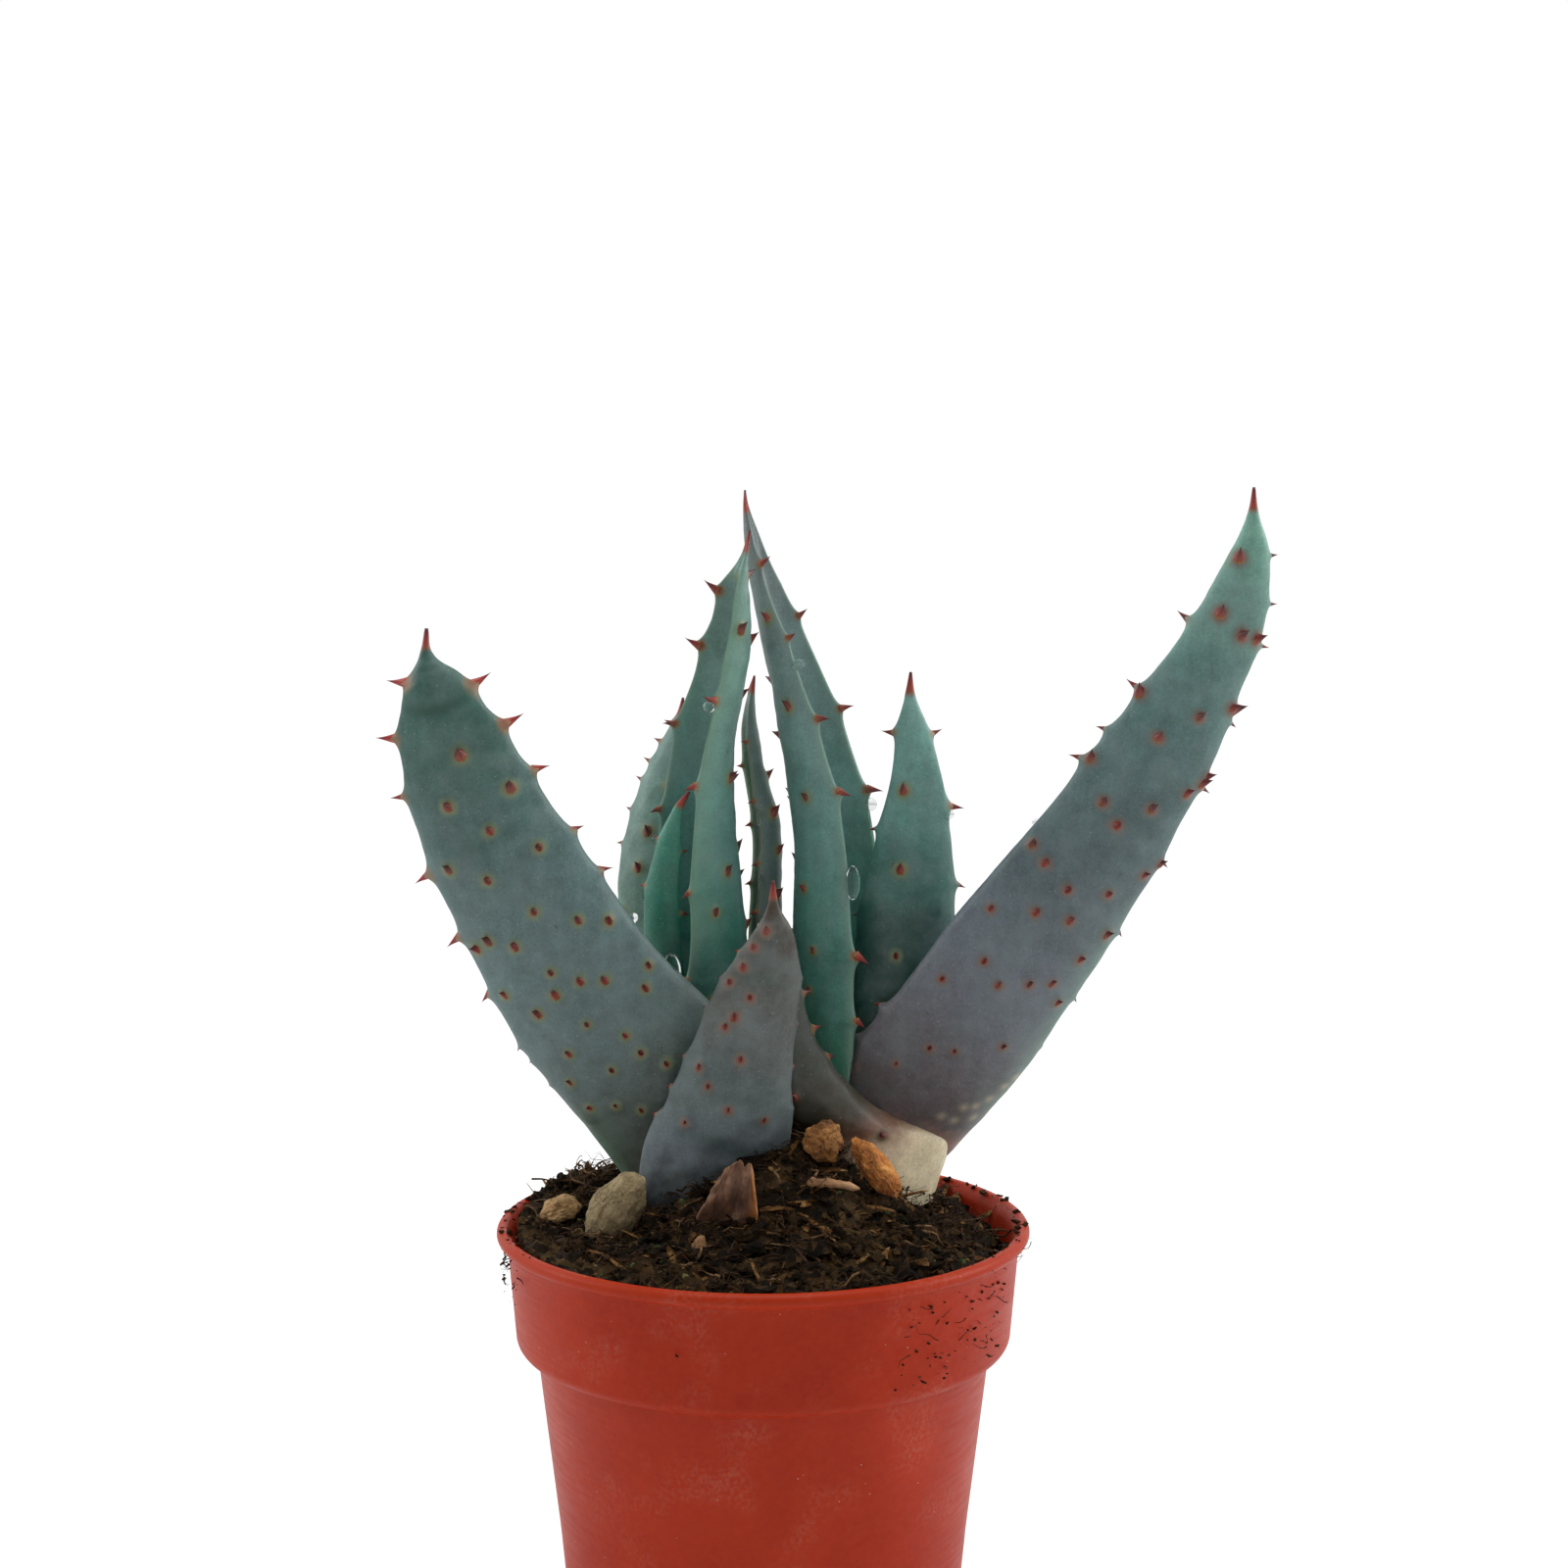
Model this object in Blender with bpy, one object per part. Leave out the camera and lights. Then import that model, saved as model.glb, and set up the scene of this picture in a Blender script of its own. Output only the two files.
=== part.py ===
"""A young prickly aloe with two crowns, growing in a small round nursery pot.

The pot stands on z = 0 with its axis on the Z axis. Everything is in metres; the leaf
tables are in millimetres from the heart of the crown that the leaf grows from.
"""
import math

import bmesh
import bpy
from mathutils import Matrix, Vector, noise

MM = 0.001

# ---- pot -------------------------------------------------------------------------------
RIM_DIAMETER = 0.085        # over the rolled lip
POT_HEIGHT = 0.078
BASE_DIAMETER = 0.060
BODY_TOP_DIAMETER = 0.0725  # just under the stacking band
BAND_HEIGHT = 0.0195        # from the step to the top of the lip
LIP_REACH = 0.00175         # how far the lip stands out from the band
BAND_DRAFT = 0.0012         # how much smaller in radius the band is at its lower edge
BAND_ROUND = 0.0022         # radius of the band's lower edge
LIP_RADIUS = 0.0011         # half the thickness of the rolled lip
WALL = 0.0012
FLOOR = 0.0016
BASE_ROUND = 0.0015
DRAIN_COUNT = 6
DRAIN_DIAMETER = 0.007
DRAIN_CIRCLE = 0.040
DRAIN_SIDES = 14
POT_SIDES = 48

# ---- soil ------------------------------------------------------------------------------
GAP = 0.0003                # left between pieces that touch
SOIL_DROP = 0.0012          # how far the soil at the wall lies under the lip, on average
SOIL_BANK = 0.0022          # rise of the soil at the left, and fall at the right
SOIL_BANK_HEADING = 165.0
SOIL_HEAP = 0.0165          # heap of soil drawn up round the crowns
SOIL_HEAP_REACH = 0.019
SOIL_HEAP_AHEAD = 0.014     # its top lies this far in front of the crowns
SOIL_LUMP = 0.0012
SOIL_SIDES = 40
SOIL_RINGS = 9

# ---- plant -----------------------------------------------------------------------------
LEAF_SCALE = 1.0            # grows every leaf from its crown
CROWN_LEFT = (-0.012, 0.010)
CROWN_RIGHT = (0.018, 0.014)
STEM_DIAMETER = 0.009
STEM_DEPTH = 0.022          # root neck below the soil line
STEM_TOP = 0.001            # above the lip, buried in the heaped soil
STEM_SIDES = 12
LEAF_SIDES = 14
LEAF_RINGS = 19
TIP_CROWDING = 0.12         # draws the sections closer together towards the tip
TIP_THICKNESS = 0.4         # of the horny point, mm

# Each leaf: rows of (x, y, z, width, bulge) along its middle from base to tip, where
# bulge is how far the back stands out behind the line between the two edges; the
# thickness at mid width near the base and the tip; the headings, in degrees from +X, that
# the hollow side looks in from base to tip. A level leaf has its sections lying flat, as
# in a base that clasps the crown; the others are cut square to the middle line.
LEAVES = {
    "leaf_young_left": dict(
        crown=CROWN_LEFT, colour=(0.05, 0.17, 0.13), thick=(3.0, 1.2), faces=(75, 75),
        rows=((-1.0, -0.5, 6, 6.4, 2.0), (-2.0, -1.5, 22, 6.6, 2.0), (-3.8, -1.5, 39, 6.2, 2.0),
              (-4.5, -1.5, 49, 6.2, 1.8), (-3.5, -1.5, 58, 4.5, 1.4), (-1.8, -1.5, 65, 1.6, 0.7),
              (0.0, -1.5, 68, 0.4, 0.2))),
    "leaf_right_short": dict(
        crown=CROWN_RIGHT, colour=(0.08, 0.17, 0.15), thick=(5.0, 1.8), faces=(88, 92),
        rows=((0.5, 0.0, 4, 11, 4.0), (2.2, -1.5, 20, 15.4, 4.5), (4.8, -3.5, 36, 16.6, 4.0),
              (5.4, -4.0, 48, 15.6, 3.6), (6.4, -4.0, 59, 12.8, 3.0), (6.8, -4.0, 70, 9.2, 2.4),
              (6.0, -4.0, 78.5, 5.0, 1.5), (5.7, -4.0, 83.5, 1.5, 0.8), (5.8, -4.0, 87.3, 0.4, 0.2))),
    "leaf_centre_right": dict(
        crown=CROWN_RIGHT, colour=(0.10, 0.20, 0.18), thick=(4.2, 1.8), faces=(338, 335),
        rows=((-3.0, 0.0, 3, 12, 6.0), (-2.0, -1.8, 17, 14, 9.5), (-0.5, -3.4, 31, 13.5, 13.0),
              (-0.7, -3.6, 46, 13.3, 13.0), (-1.8, -3.4, 60, 12.6, 12.4), (-4.5, -3.0, 72, 11.0, 10.8),
              (-8.5, -2.4, 83.5, 9.6, 8.5), (-12.8, -1.8, 94, 7.2, 6.0), (-17.3, -1.0, 104, 3.8, 3.4),
              (-19.4, -0.6, 110, 2.2, 2.0), (-20.6, -0.4, 114, 0.9, 0.8),
              (-21.0, -0.4, 116.7, 0.4, 0.2))),
    "leaf_centre_left": dict(
        crown=CROWN_LEFT, colour=(0.13, 0.23, 0.21), thick=(4.2, 1.8), faces=(205, 214),
        rows=((3.0, -0.4, 3, 12, 6.0), (-1.0, -0.8, 14, 14, 11.0), (-4.0, -0.8, 29, 13.6, 15.0),
              (-3.2, -0.6, 44, 13.4, 13.2), (-3.0, -0.6, 56, 12.3, 12.4), (-2.0, -1.0, 66.5, 11.2, 10.2),
              (-0.3, -1.6, 77, 10.0, 8.8), (2.5, -2.3, 86, 9.0, 7.0), (4.7, -3.0, 94.5, 7.4, 5.8),
              (6.4, -3.5, 101, 4.6, 4.0), (8.6, -3.8, 105.5, 1.2, 1.0), (9.8, -3.8, 110, 0.4, 0.2))),
    "leaf_inner_young": dict(
        crown=CROWN_LEFT, colour=(0.09, 0.13, 0.12), thick=(2.4, 1.2), faces=(192, 192),
        rows=((5.5, 5.0, 4, 6.0, 3.0), (8.0, 6.5, 20, 6.2, 4.0), (9.5, 7.0, 36, 5.6, 5.0),
              (10.2, 7.2, 52, 5.2, 5.2), (10.3, 7.2, 61, 5.2, 4.6), (9.0, 7.2, 70, 5.0, 3.6),
              (8.6, 7.2, 77, 4.2, 2.6), (9.2, 7.2, 82, 2.4, 1.4), (10.4, 7.2, 86.5, 0.4, 0.2))),
    "leaf_far_left": dict(
        crown=CROWN_LEFT, colour=(0.15, 0.27, 0.22), thick=(4.0, 1.6), faces=(75, 70),
        rows=((-1.0, 7.0, 3, 11, 4.0), (-2.0, 10.0, 20, 12, 3.4), (-4.5, 12.0, 38, 12, 3.0),
              (-7.0, 13.0, 49.5, 12, 3.0), (-6.3, 13.8, 58.5, 11.2, 3.0), (-3.8, 14.6, 69, 9.0, 2.4),
              (-2.2, 15.2, 76.5, 4.8, 1.4), (-2.0, 15.8, 80, 1.2, 0.6), (-1.7, 16.0, 82.5, 0.4, 0.2))),
    "leaf_right_large": dict(
        crown=CROWN_RIGHT, colour=(0.09, 0.13, 0.13), thick=(6.5, 3.0), faces=(98, 92),
        rows=((0.5, -1.0, -5, 10, 4.5), (1.4, -2.0, 5, 13.5, 5.2), (3.8, -3.4, 13, 20, 5.8),
              (7.2, -5.4, 20.5, 23.8, 6.2),
              (13.8, -9.0, 30, 24.2, 6.0), (22.5, -12.6, 43, 23.8, 5.6), (32.0, -15.8, 57, 21.2, 5.0),
              (41.5, -18.5, 72, 18.0, 4.4), (48.2, -20.0, 84, 14.4, 3.8), (54.2, -21.2, 96, 10.4, 3.0),
              (56.8, -22.0, 106, 5.8, 2.0), (57.2, -22.0, 112.3, 1.4, 0.8),
              (57.3, -22.0, 116.1, 0.4, 0.2))),
    "leaf_left_large": dict(
        crown=CROWN_LEFT, colour=(0.08, 0.12, 0.11), thick=(6.5, 3.0), faces=(84, 92),
        rows=((4.0, -3.0, -5, 15, 6.0), (1.5, -4.5, 9, 24, 7.0), (-5.0, -7.5, 22.5, 27.6, 7.0),
              (-15.0, -10.8, 35, 26.6, 6.0), (-20.8, -13.6, 44.5, 25.0, 5.6), (-25.6, -16.2, 54, 23.6, 5.2),
              (-30.8, -18.8, 64.5, 21.4, 4.8), (-34.4, -21.0, 74, 18.2, 4.2), (-36.8, -22.6, 81.5, 14.0, 3.6),
              (-38.0, -23.5, 86.5, 8.6, 2.8), (-38.9, -24.0, 90.6, 1.8, 1.0),
              (-38.8, -24.0, 94.6, 0.4, 0.2))),
    "leaf_front_right": dict(
        crown=CROWN_RIGHT, colour=(0.10, 0.10, 0.09), thick=(2.6, 1.4), faces=(107, 107, 96, 92, 90),
        level=True,
        rows=((-1.5, -3.0, -6, 18.5, 7.5), (-1.0, -4.5, 2, 23, 8.5), (-0.6, -5.4, 8, 26, 8.5),
              (-0.6, -6.0, 11.6, 28, 8.0), (-7.2, -10.8, 16, 19.6, 6.2), (-9.8, -13.0, 19, 16.3, 5.0),
              (-12.2, -14.8, 23, 13.5, 4.2), (-13.8, -15.6, 27, 11.3, 3.6), (-15.0, -16.2, 31, 9.7, 3.2),
              (-15.7, -16.8, 37, 7.5, 2.6), (-16.2, -17.0, 42, 4.4, 1.8), (-16.2, -17.0, 46, 0.6, 0.4))),
    "leaf_front_small": dict(
        crown=CROWN_LEFT, colour=(0.09, 0.10, 0.09), thick=(4.0, 2.2), faces=(92, 96),
        rows=((3.2, -12.0, -5, 18, 6.0), (3.6, -13.6, 3, 22, 6.0), (4.2, -14.6, 11, 22.4, 5.4),
              (6.2, -15.8, 17, 20.8, 4.8), (8.0, -16.6, 25, 17.4, 4.2), (10.5, -17.4, 34.5, 14.0, 3.6),
              (12.5, -17.8, 41.5, 10.8, 3.0), (13.6, -18.0, 47, 6.6, 2.2), (13.6, -18.0, 51.5, 1.8, 0.9),
              (13.6, -18.0, 55.5, 0.4, 0.2))),
}

# ---- stones and litter lying on the soil: centre, half sizes, turn, seed ------------------
LITTER = {
    "pebble_grey": dict(at=(-23.0, -11.5, 4.0), half=(4.2, 3.6, 6.2), turn=(6, 26, 0),
                        colour=(0.24, 0.17, 0.085), rough=0.07, seed=3),
    "granule_yellow": dict(at=(-32.0, -4.0, 2.4), half=(3.1, 2.6, 2.2), turn=(0, -14, 25),
                           colour=(0.33, 0.19, 0.08), rough=0.10, seed=8),
    "clay_granule_round": dict(at=(9.4, -8.5, 14.4), half=(3.2, 2.6, 3.0), turn=(0, 10, 40),
                               colour=(0.19, 0.09, 0.027), rough=0.11, seed=13),
    "clay_granule_long": dict(at=(17.7, -9.0, 10.4), half=(2.2, 2.2, 5.4), turn=(-12, -38, 0),
                              colour=(0.30, 0.11, 0.036), rough=0.08, seed=21),
    "chip_tan": dict(at=(-9.6, -24.0, 1.2), half=(1.2, 1.3, 2.4), turn=(0, 14, 0),
                     colour=(0.30, 0.16, 0.06), rough=0.10, seed=34),
}
# Scraps: a withered leaf scale and a splinter of wood. Width, thickness and length, then how
# far each leans over and is twisted, in degrees, and how far its middle bows, in mm.
SCRAPS = {
    "withered_leaf_scale": dict(at=(-4.4, -19.0, 9.8), size=(8.6, 1.3, 10.5), lean=14, twist=8, bow=0.8,
                                colour=(0.11, 0.06, 0.035)),
    "wood_sliver": dict(at=(11.0, -14.5, 9.0), size=(1.5, 1.2, 8.4), lean=82, twist=4, bow=0.3,
                        colour=(0.36, 0.17, 0.07)),
}
SCRAP_TAPER = 0.55          # how much narrower a scrap is at its far end
SCRAP_FOOT = 0.75           # how wide it starts, against its widest place
SCRAP_THINNING = 0.3
SCRAP_CUP = 0.12            # how far its edges curl, against half its width
SCRAP_SIDES = 8
SCRAP_STEPS = 6

POT_COLOUR = (0.35, 0.045, 0.02)
SOIL_COLOUR = (0.025, 0.016, 0.01)
STEM_COLOUR = (0.42, 0.36, 0.22)


def clear_scene():
    for item in list(bpy.data.objects):
        bpy.data.objects.remove(item, do_unlink=True)


def material(name, colour, roughness):
    made = bpy.data.materials.new(name)
    made.use_nodes = True
    shader = made.node_tree.nodes["Principled BSDF"]
    shader.inputs["Base Color"].default_value = (*colour, 1.0)
    shader.inputs["Roughness"].default_value = roughness
    shader.inputs["Metallic"].default_value = 0.0
    return made


def add_mesh(name, points, faces):
    """A mesh object of triangles from points and faces, turned outwards."""
    mesh = bpy.data.meshes.new(name)
    mesh.from_pydata([tuple(p) for p in points], [], faces)
    work = bmesh.new()
    work.from_mesh(mesh)
    bmesh.ops.triangulate(work, faces=work.faces)
    bmesh.ops.recalc_face_normals(work, faces=work.faces)
    work.to_mesh(mesh)
    work.free()
    mesh.shade_smooth()
    made = bpy.data.objects.new(name, mesh)
    bpy.context.scene.collection.objects.link(made)
    return made


def as_cutter(item):
    item.hide_render = True
    item.display_type = "WIRE"
    return item


def box_of(item):
    low = [min(v.co[k] for v in item.data.vertices) for k in range(3)]
    high = [max(v.co[k] for v in item.data.vertices) for k in range(3)]
    return low, high


def boxes_meet(a, b):
    (low_a, high_a), (low_b, high_b) = box_of(a), box_of(b)
    return all(low_a[k] < high_b[k] and low_b[k] < high_a[k] for k in range(3))


def carve(item, cutters):
    """Cuts each cutter out of the item, then keeps the largest shell that is left."""
    near = [cutter for cutter in cutters if boxes_meet(item, cutter)]
    if not near:
        return
    for cutter in near:
        cut = item.modifiers.new("room_for_" + cutter.name, "BOOLEAN")
        cut.operation = "DIFFERENCE"
        cut.solver = "EXACT"
        cut.object = cutter
    graph = bpy.context.evaluated_depsgraph_get()
    carved = bpy.data.meshes.new_from_object(item.evaluated_get(graph))
    item.modifiers.clear()
    item.data = carved
    keep_largest_shell(carved)


def keep_largest_shell(mesh):
    work = bmesh.new()
    work.from_mesh(mesh)
    bmesh.ops.remove_doubles(work, verts=work.verts, dist=1e-7)
    left = set(work.verts)
    shells = []
    while left:
        shell = set()
        todo = [left.pop()]
        while todo:
            vert = todo.pop()
            shell.add(vert)
            for edge in vert.link_edges:
                other = edge.other_vert(vert)
                if other in left:
                    left.discard(other)
                    todo.append(other)
        shells.append(shell)
    shells.sort(key=len)
    bmesh.ops.delete(work, geom=[v for shell in shells[:-1] for v in shell], context="VERTS")
    bmesh.ops.triangulate(work, faces=work.faces)
    work.to_mesh(mesh)
    work.free()
    mesh.shade_smooth()


# ---- turned pieces ---------------------------------------------------------------------
def turn(name, profile, sides, height=None):
    """Turns a closed profile of (radius, z) about Z. The first and last points are on
    the axis. height(radius, heading) may lift the points that have z None."""
    points = []
    rings = []
    for radius, z in profile:
        if radius == 0.0:
            rings.append([len(points)])
            points.append((0.0, 0.0, height(0.0, 0.0) if z is None else z))
            continue
        ring = []
        for step in range(sides):
            heading = 2 * math.pi * step / sides
            ring.append(len(points))
            lift = height(radius, heading) if z is None else z
            points.append((radius * math.cos(heading), radius * math.sin(heading), lift))
        rings.append(ring)
    faces = []
    for low, high in zip(rings, rings[1:]):
        for step in range(sides):
            after = (step + 1) % sides
            if len(low) == 1:
                faces.append((low[0], high[step], high[after]))
            elif len(high) == 1:
                faces.append((low[step], high[0], low[after]))
            else:
                faces.append((low[step], high[step], high[after], low[after]))
    return add_mesh(name, points, faces)


def arc(centre, radius, start, end, steps):
    """Points on an arc in the (radius, z) plane, angles in degrees."""
    points = []
    for step in range(steps + 1):
        angle = math.radians(start + (end - start) * step / steps)
        points.append((centre[0] + radius * math.cos(angle), centre[1] + radius * math.sin(angle)))
    return points


BAND_BOTTOM = POT_HEIGHT - BAND_HEIGHT
BAND_RADIUS = RIM_DIAMETER / 2 - LIP_REACH
BAND_FOOT_RADIUS = BAND_RADIUS - BAND_DRAFT
BODY_TOP_RADIUS = BODY_TOP_DIAMETER / 2
BASE_RADIUS = BASE_DIAMETER / 2
LIP_CENTRE = (RIM_DIAMETER / 2 - LIP_RADIUS, POT_HEIGHT - LIP_RADIUS)
INNER_RIM_RADIUS = BAND_RADIUS - WALL
LEDGE = BAND_BOTTOM + WALL


def inner_wall(inset=0.0):
    """The inside of the pot from the floor's centre up to the ledge behind the band."""
    return [(0.0, FLOOR + inset),
            (BASE_RADIUS - WALL - inset, FLOOR + inset),
            (BODY_TOP_RADIUS - WALL - inset, LEDGE + inset),
            (BAND_FOOT_RADIUS - WALL - inset, LEDGE + BAND_ROUND / 2 + inset)]


def make_pot():
    outside = [(0.0, 0.0)]
    outside += arc((BASE_RADIUS - BASE_ROUND, BASE_ROUND), BASE_ROUND, -90, 0, 3)
    outside.append((BODY_TOP_RADIUS, BAND_BOTTOM))
    outside += arc((BAND_FOOT_RADIUS - BAND_ROUND, BAND_BOTTOM + BAND_ROUND), BAND_ROUND, -90, 0, 4)
    outside.append((BAND_RADIUS, POT_HEIGHT - 2 * LIP_RADIUS))
    outside += arc(LIP_CENTRE, LIP_RADIUS, -60, 120, 6)
    inside = [(INNER_RIM_RADIUS, POT_HEIGHT - 2 * LIP_RADIUS)] + inner_wall()[::-1]
    pot = turn("pot", outside + inside, POT_SIDES)
    pot.data.set_sharp_from_angle(angle=math.radians(40))
    cut_drain_holes(pot)
    return pot


def cut_drain_holes(pot):
    for index in range(DRAIN_COUNT):
        heading = 2 * math.pi * index / DRAIN_COUNT + math.pi / POT_SIDES
        deep = 2 * FLOOR
        drill = turn(f"drain_drill_{index}", [(0.0, -deep), (DRAIN_DIAMETER / 2, -deep),
                                              (DRAIN_DIAMETER / 2, deep), (0.0, deep)], DRAIN_SIDES)
        drill.data.transform(Matrix.Translation((DRAIN_CIRCLE / 2 * math.cos(heading),
                                                 DRAIN_CIRCLE / 2 * math.sin(heading), 0.0)))
        as_cutter(drill)
        hole = pot.modifiers.new(drill.name, "BOOLEAN")
        hole.operation = "DIFFERENCE"
        hole.solver = "EXACT"
        hole.object = drill


def soil_height(radius, heading):
    """Height of the soil: banked to the back left, heaped round the crowns, lumpy."""
    x = radius * math.cos(heading)
    y = radius * math.sin(heading)
    share = radius / INNER_RIM_RADIUS
    bank = SOIL_BANK * share ** 2 * math.cos(heading - math.radians(SOIL_BANK_HEADING))
    from_crowns = math.hypot(x - (CROWN_LEFT[0] + CROWN_RIGHT[0]) / 2,
                             y - (CROWN_LEFT[1] + CROWN_RIGHT[1]) / 2 + SOIL_HEAP_AHEAD)
    heap = SOIL_HEAP * math.exp(-(from_crowns / SOIL_HEAP_REACH) ** 2)
    lumps = SOIL_LUMP * noise.noise(Vector((x, y, 0.0)) * 110.0)
    return POT_HEIGHT - SOIL_DROP + bank + heap + lumps


def make_soil():
    profile = inner_wall(GAP)
    edge = INNER_RIM_RADIUS - GAP - BAND_DRAFT
    for ring in range(SOIL_RINGS):
        profile.append((edge * (1.0 - ring / SOIL_RINGS), None))
    profile.append((0.0, None))
    return turn("soil", profile, SOIL_SIDES, soil_height)


# ---- leaves ----------------------------------------------------------------------------
def smooth_row(rows, spans, place):
    """Reads every column of the rows at a place along the leaf, on a smooth curve."""
    index = max(i for i in range(len(spans) - 1) if spans[i] <= place or i == 0)
    before = rows[max(index - 1, 0)]
    start = rows[index]
    end = rows[index + 1]
    after = rows[min(index + 2, len(rows) - 1)]
    length = spans[index + 1] - spans[index]
    back = length + (spans[index] - spans[index - 1] if index else 0.0)
    ahead = length + (spans[index + 2] - spans[index + 1] if index + 2 < len(rows) else 0.0)
    t = (place - spans[index]) / length
    values = []
    for a, b, c, d in zip(before, start, end, after):
        slope_in = (c - a) / back * length
        slope_out = (d - b) / ahead * length
        values.append((2 * t ** 3 - 3 * t ** 2 + 1) * b + (t ** 3 - 2 * t ** 2 + t) * slope_in
                      + (3 * t ** 2 - 2 * t ** 3) * c + (t ** 3 - t ** 2) * slope_out)
    return values


def along(values, share):
    """Reads a short list of values, evenly spaced from base to tip, at a share of 0 to 1."""
    place = share * (len(values) - 1)
    index = min(int(place), len(values) - 2)
    return values[index] + (values[index + 1] - values[index]) * (place - index)


def crescent(width, bulge, thick, grow):
    """A crescent section as (across, out) pairs, starting at the right edge: a bent middle
    line with the flesh set off square to it on both sides. Deep sections are U shaped,
    shallow ones lens shaped."""
    half = width / 2
    depth = max(bulge - thick / 2, 0.15 * bulge)
    power = 2.0 - min(1.0, depth / half)

    def middle(angle):
        return Vector((half * math.cos(angle), depth * abs(math.sin(angle)) ** power))

    backs = []
    fronts = []
    count = LEAF_SIDES // 2
    for step in range(1, count):
        angle = math.pi * step / count
        run = (middle(angle + 0.01) - middle(angle - 0.01)).normalized()
        square = Vector((run.y, -run.x)) if run.x < 0 else Vector((-run.y, run.x))
        square = square if square.y >= 0 or abs(run.x) < 1e-6 else -square
        flesh = thick / 2 * math.sin(angle) ** 0.7 + grow
        backs.append(middle(angle) + square * flesh)
        fronts.append(middle(angle) - square * min(flesh, 0.6 * half))
    right = middle(0.0) + (middle(0.0) - middle(0.15)).normalized() * grow * 1.2
    left = Vector((-right.x, right.y))
    return [right] + backs + [left] + fronts[::-1]


def leaf_shape(name, leaf, grow=0.0):
    """Lofts a crescent section along the leaf's middle; grow swells it all round."""
    rows = leaf["rows"]
    spans = [0.0]
    for a, b in zip(rows, rows[1:]):
        spans.append(spans[-1] + math.dist(a[:3], b[:3]))
    total = spans[-1]
    crown = Vector((leaf["crown"][0], leaf["crown"][1], POT_HEIGHT))
    step = total * 0.004
    extra = grow / MM
    points = []
    for ring in range(LEAF_RINGS + 1):
        share = ring / LEAF_RINGS
        share = share + TIP_CROWDING * math.sin(math.pi * share) * share
        x, y, z, width, bulge = smooth_row(rows, spans, share * total)
        ahead = smooth_row(rows, spans, min(share * total + step, total))
        behind = smooth_row(rows, spans, max(share * total - step, 0.0))
        tangent = (Vector(ahead[:3]) - Vector(behind[:3])).normalized()
        heading = math.radians(along(leaf["faces"], share))
        hollow = Vector((math.cos(heading), math.sin(heading), 0.0))
        upright = Vector((0.0, 0.0, 1.0)) if leaf.get("level") else tangent
        side = upright.cross(hollow).normalized()
        hollow = side.cross(upright).normalized()
        width = max(width, TIP_THICKNESS) * LEAF_SCALE
        thick = min(along(leaf["thick"], share) * LEAF_SCALE, width * 0.8)
        bulge = max(bulge, TIP_THICKNESS / 2) * LEAF_SCALE
        middle = Vector((x, y, z)) * LEAF_SCALE
        if ring == 0:
            middle -= tangent * extra
        if ring == LEAF_RINGS:
            middle += tangent * extra
        for across, out in crescent(width, bulge, thick, extra):
            points.append(crown + (middle + side * across - hollow * out) * MM)
    faces = [tuple(range(LEAF_SIDES))]
    for ring in range(LEAF_RINGS):
        for corner in range(LEAF_SIDES):
            after = (corner + 1) % LEAF_SIDES
            a, b = ring * LEAF_SIDES, (ring + 1) * LEAF_SIDES
            faces.append((a + corner, a + after, b + after, b + corner))
    faces.append(tuple(LEAF_RINGS * LEAF_SIDES + corner for corner in range(LEAF_SIDES)))
    return add_mesh(name, points, faces)


def make_stem(name, crown, grow=0.0):
    radius = STEM_DIAMETER / 2 + grow
    low = POT_HEIGHT - STEM_DEPTH - grow
    high = POT_HEIGHT + STEM_TOP + grow
    profile = [(0.0, low - radius * 0.5), (radius * 0.7, low), (radius, low + radius),
               (radius, high - radius * 0.6), (radius * 0.6, high), (0.0, high + radius * 0.2)]
    stem = turn(name, profile, STEM_SIDES)
    stem.data.transform(Matrix.Translation((crown[0], crown[1], 0.0)))
    return stem


# ---- litter ----------------------------------------------------------------------------
def make_stone(name, stone, grow=0.0):
    """A rounded lump: a ball stretched to its half sizes and roughened."""
    work = bmesh.new()
    bmesh.ops.create_icosphere(work, subdivisions=3, radius=1.0)
    shift = Vector((stone["seed"] * 7.3, stone["seed"] * 1.9, 0.0))
    turn_by = [math.radians(angle) for angle in stone["turn"]]
    spin = (Matrix.Rotation(turn_by[2], 3, "Z") @ Matrix.Rotation(turn_by[1], 3, "Y")
            @ Matrix.Rotation(turn_by[0], 3, "X"))
    place = Vector(stone["at"]) * MM + Vector((0.0, 0.0, POT_HEIGHT))
    for vert in work.verts:
        swell = 1.0 + stone["rough"] * 2.2 * noise.noise(vert.co * 1.7 + shift)
        reach = [half * MM * swell + grow for half in stone["half"]]
        vert.co = place + spin @ Vector([vert.co[k] * reach[k] for k in range(3)])
    mesh = bpy.data.meshes.new(name)
    bmesh.ops.recalc_face_normals(work, faces=work.faces)
    work.to_mesh(mesh)
    work.free()
    mesh.shade_smooth()
    made = bpy.data.objects.new(name, mesh)
    bpy.context.scene.collection.objects.link(made)
    return made


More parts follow.
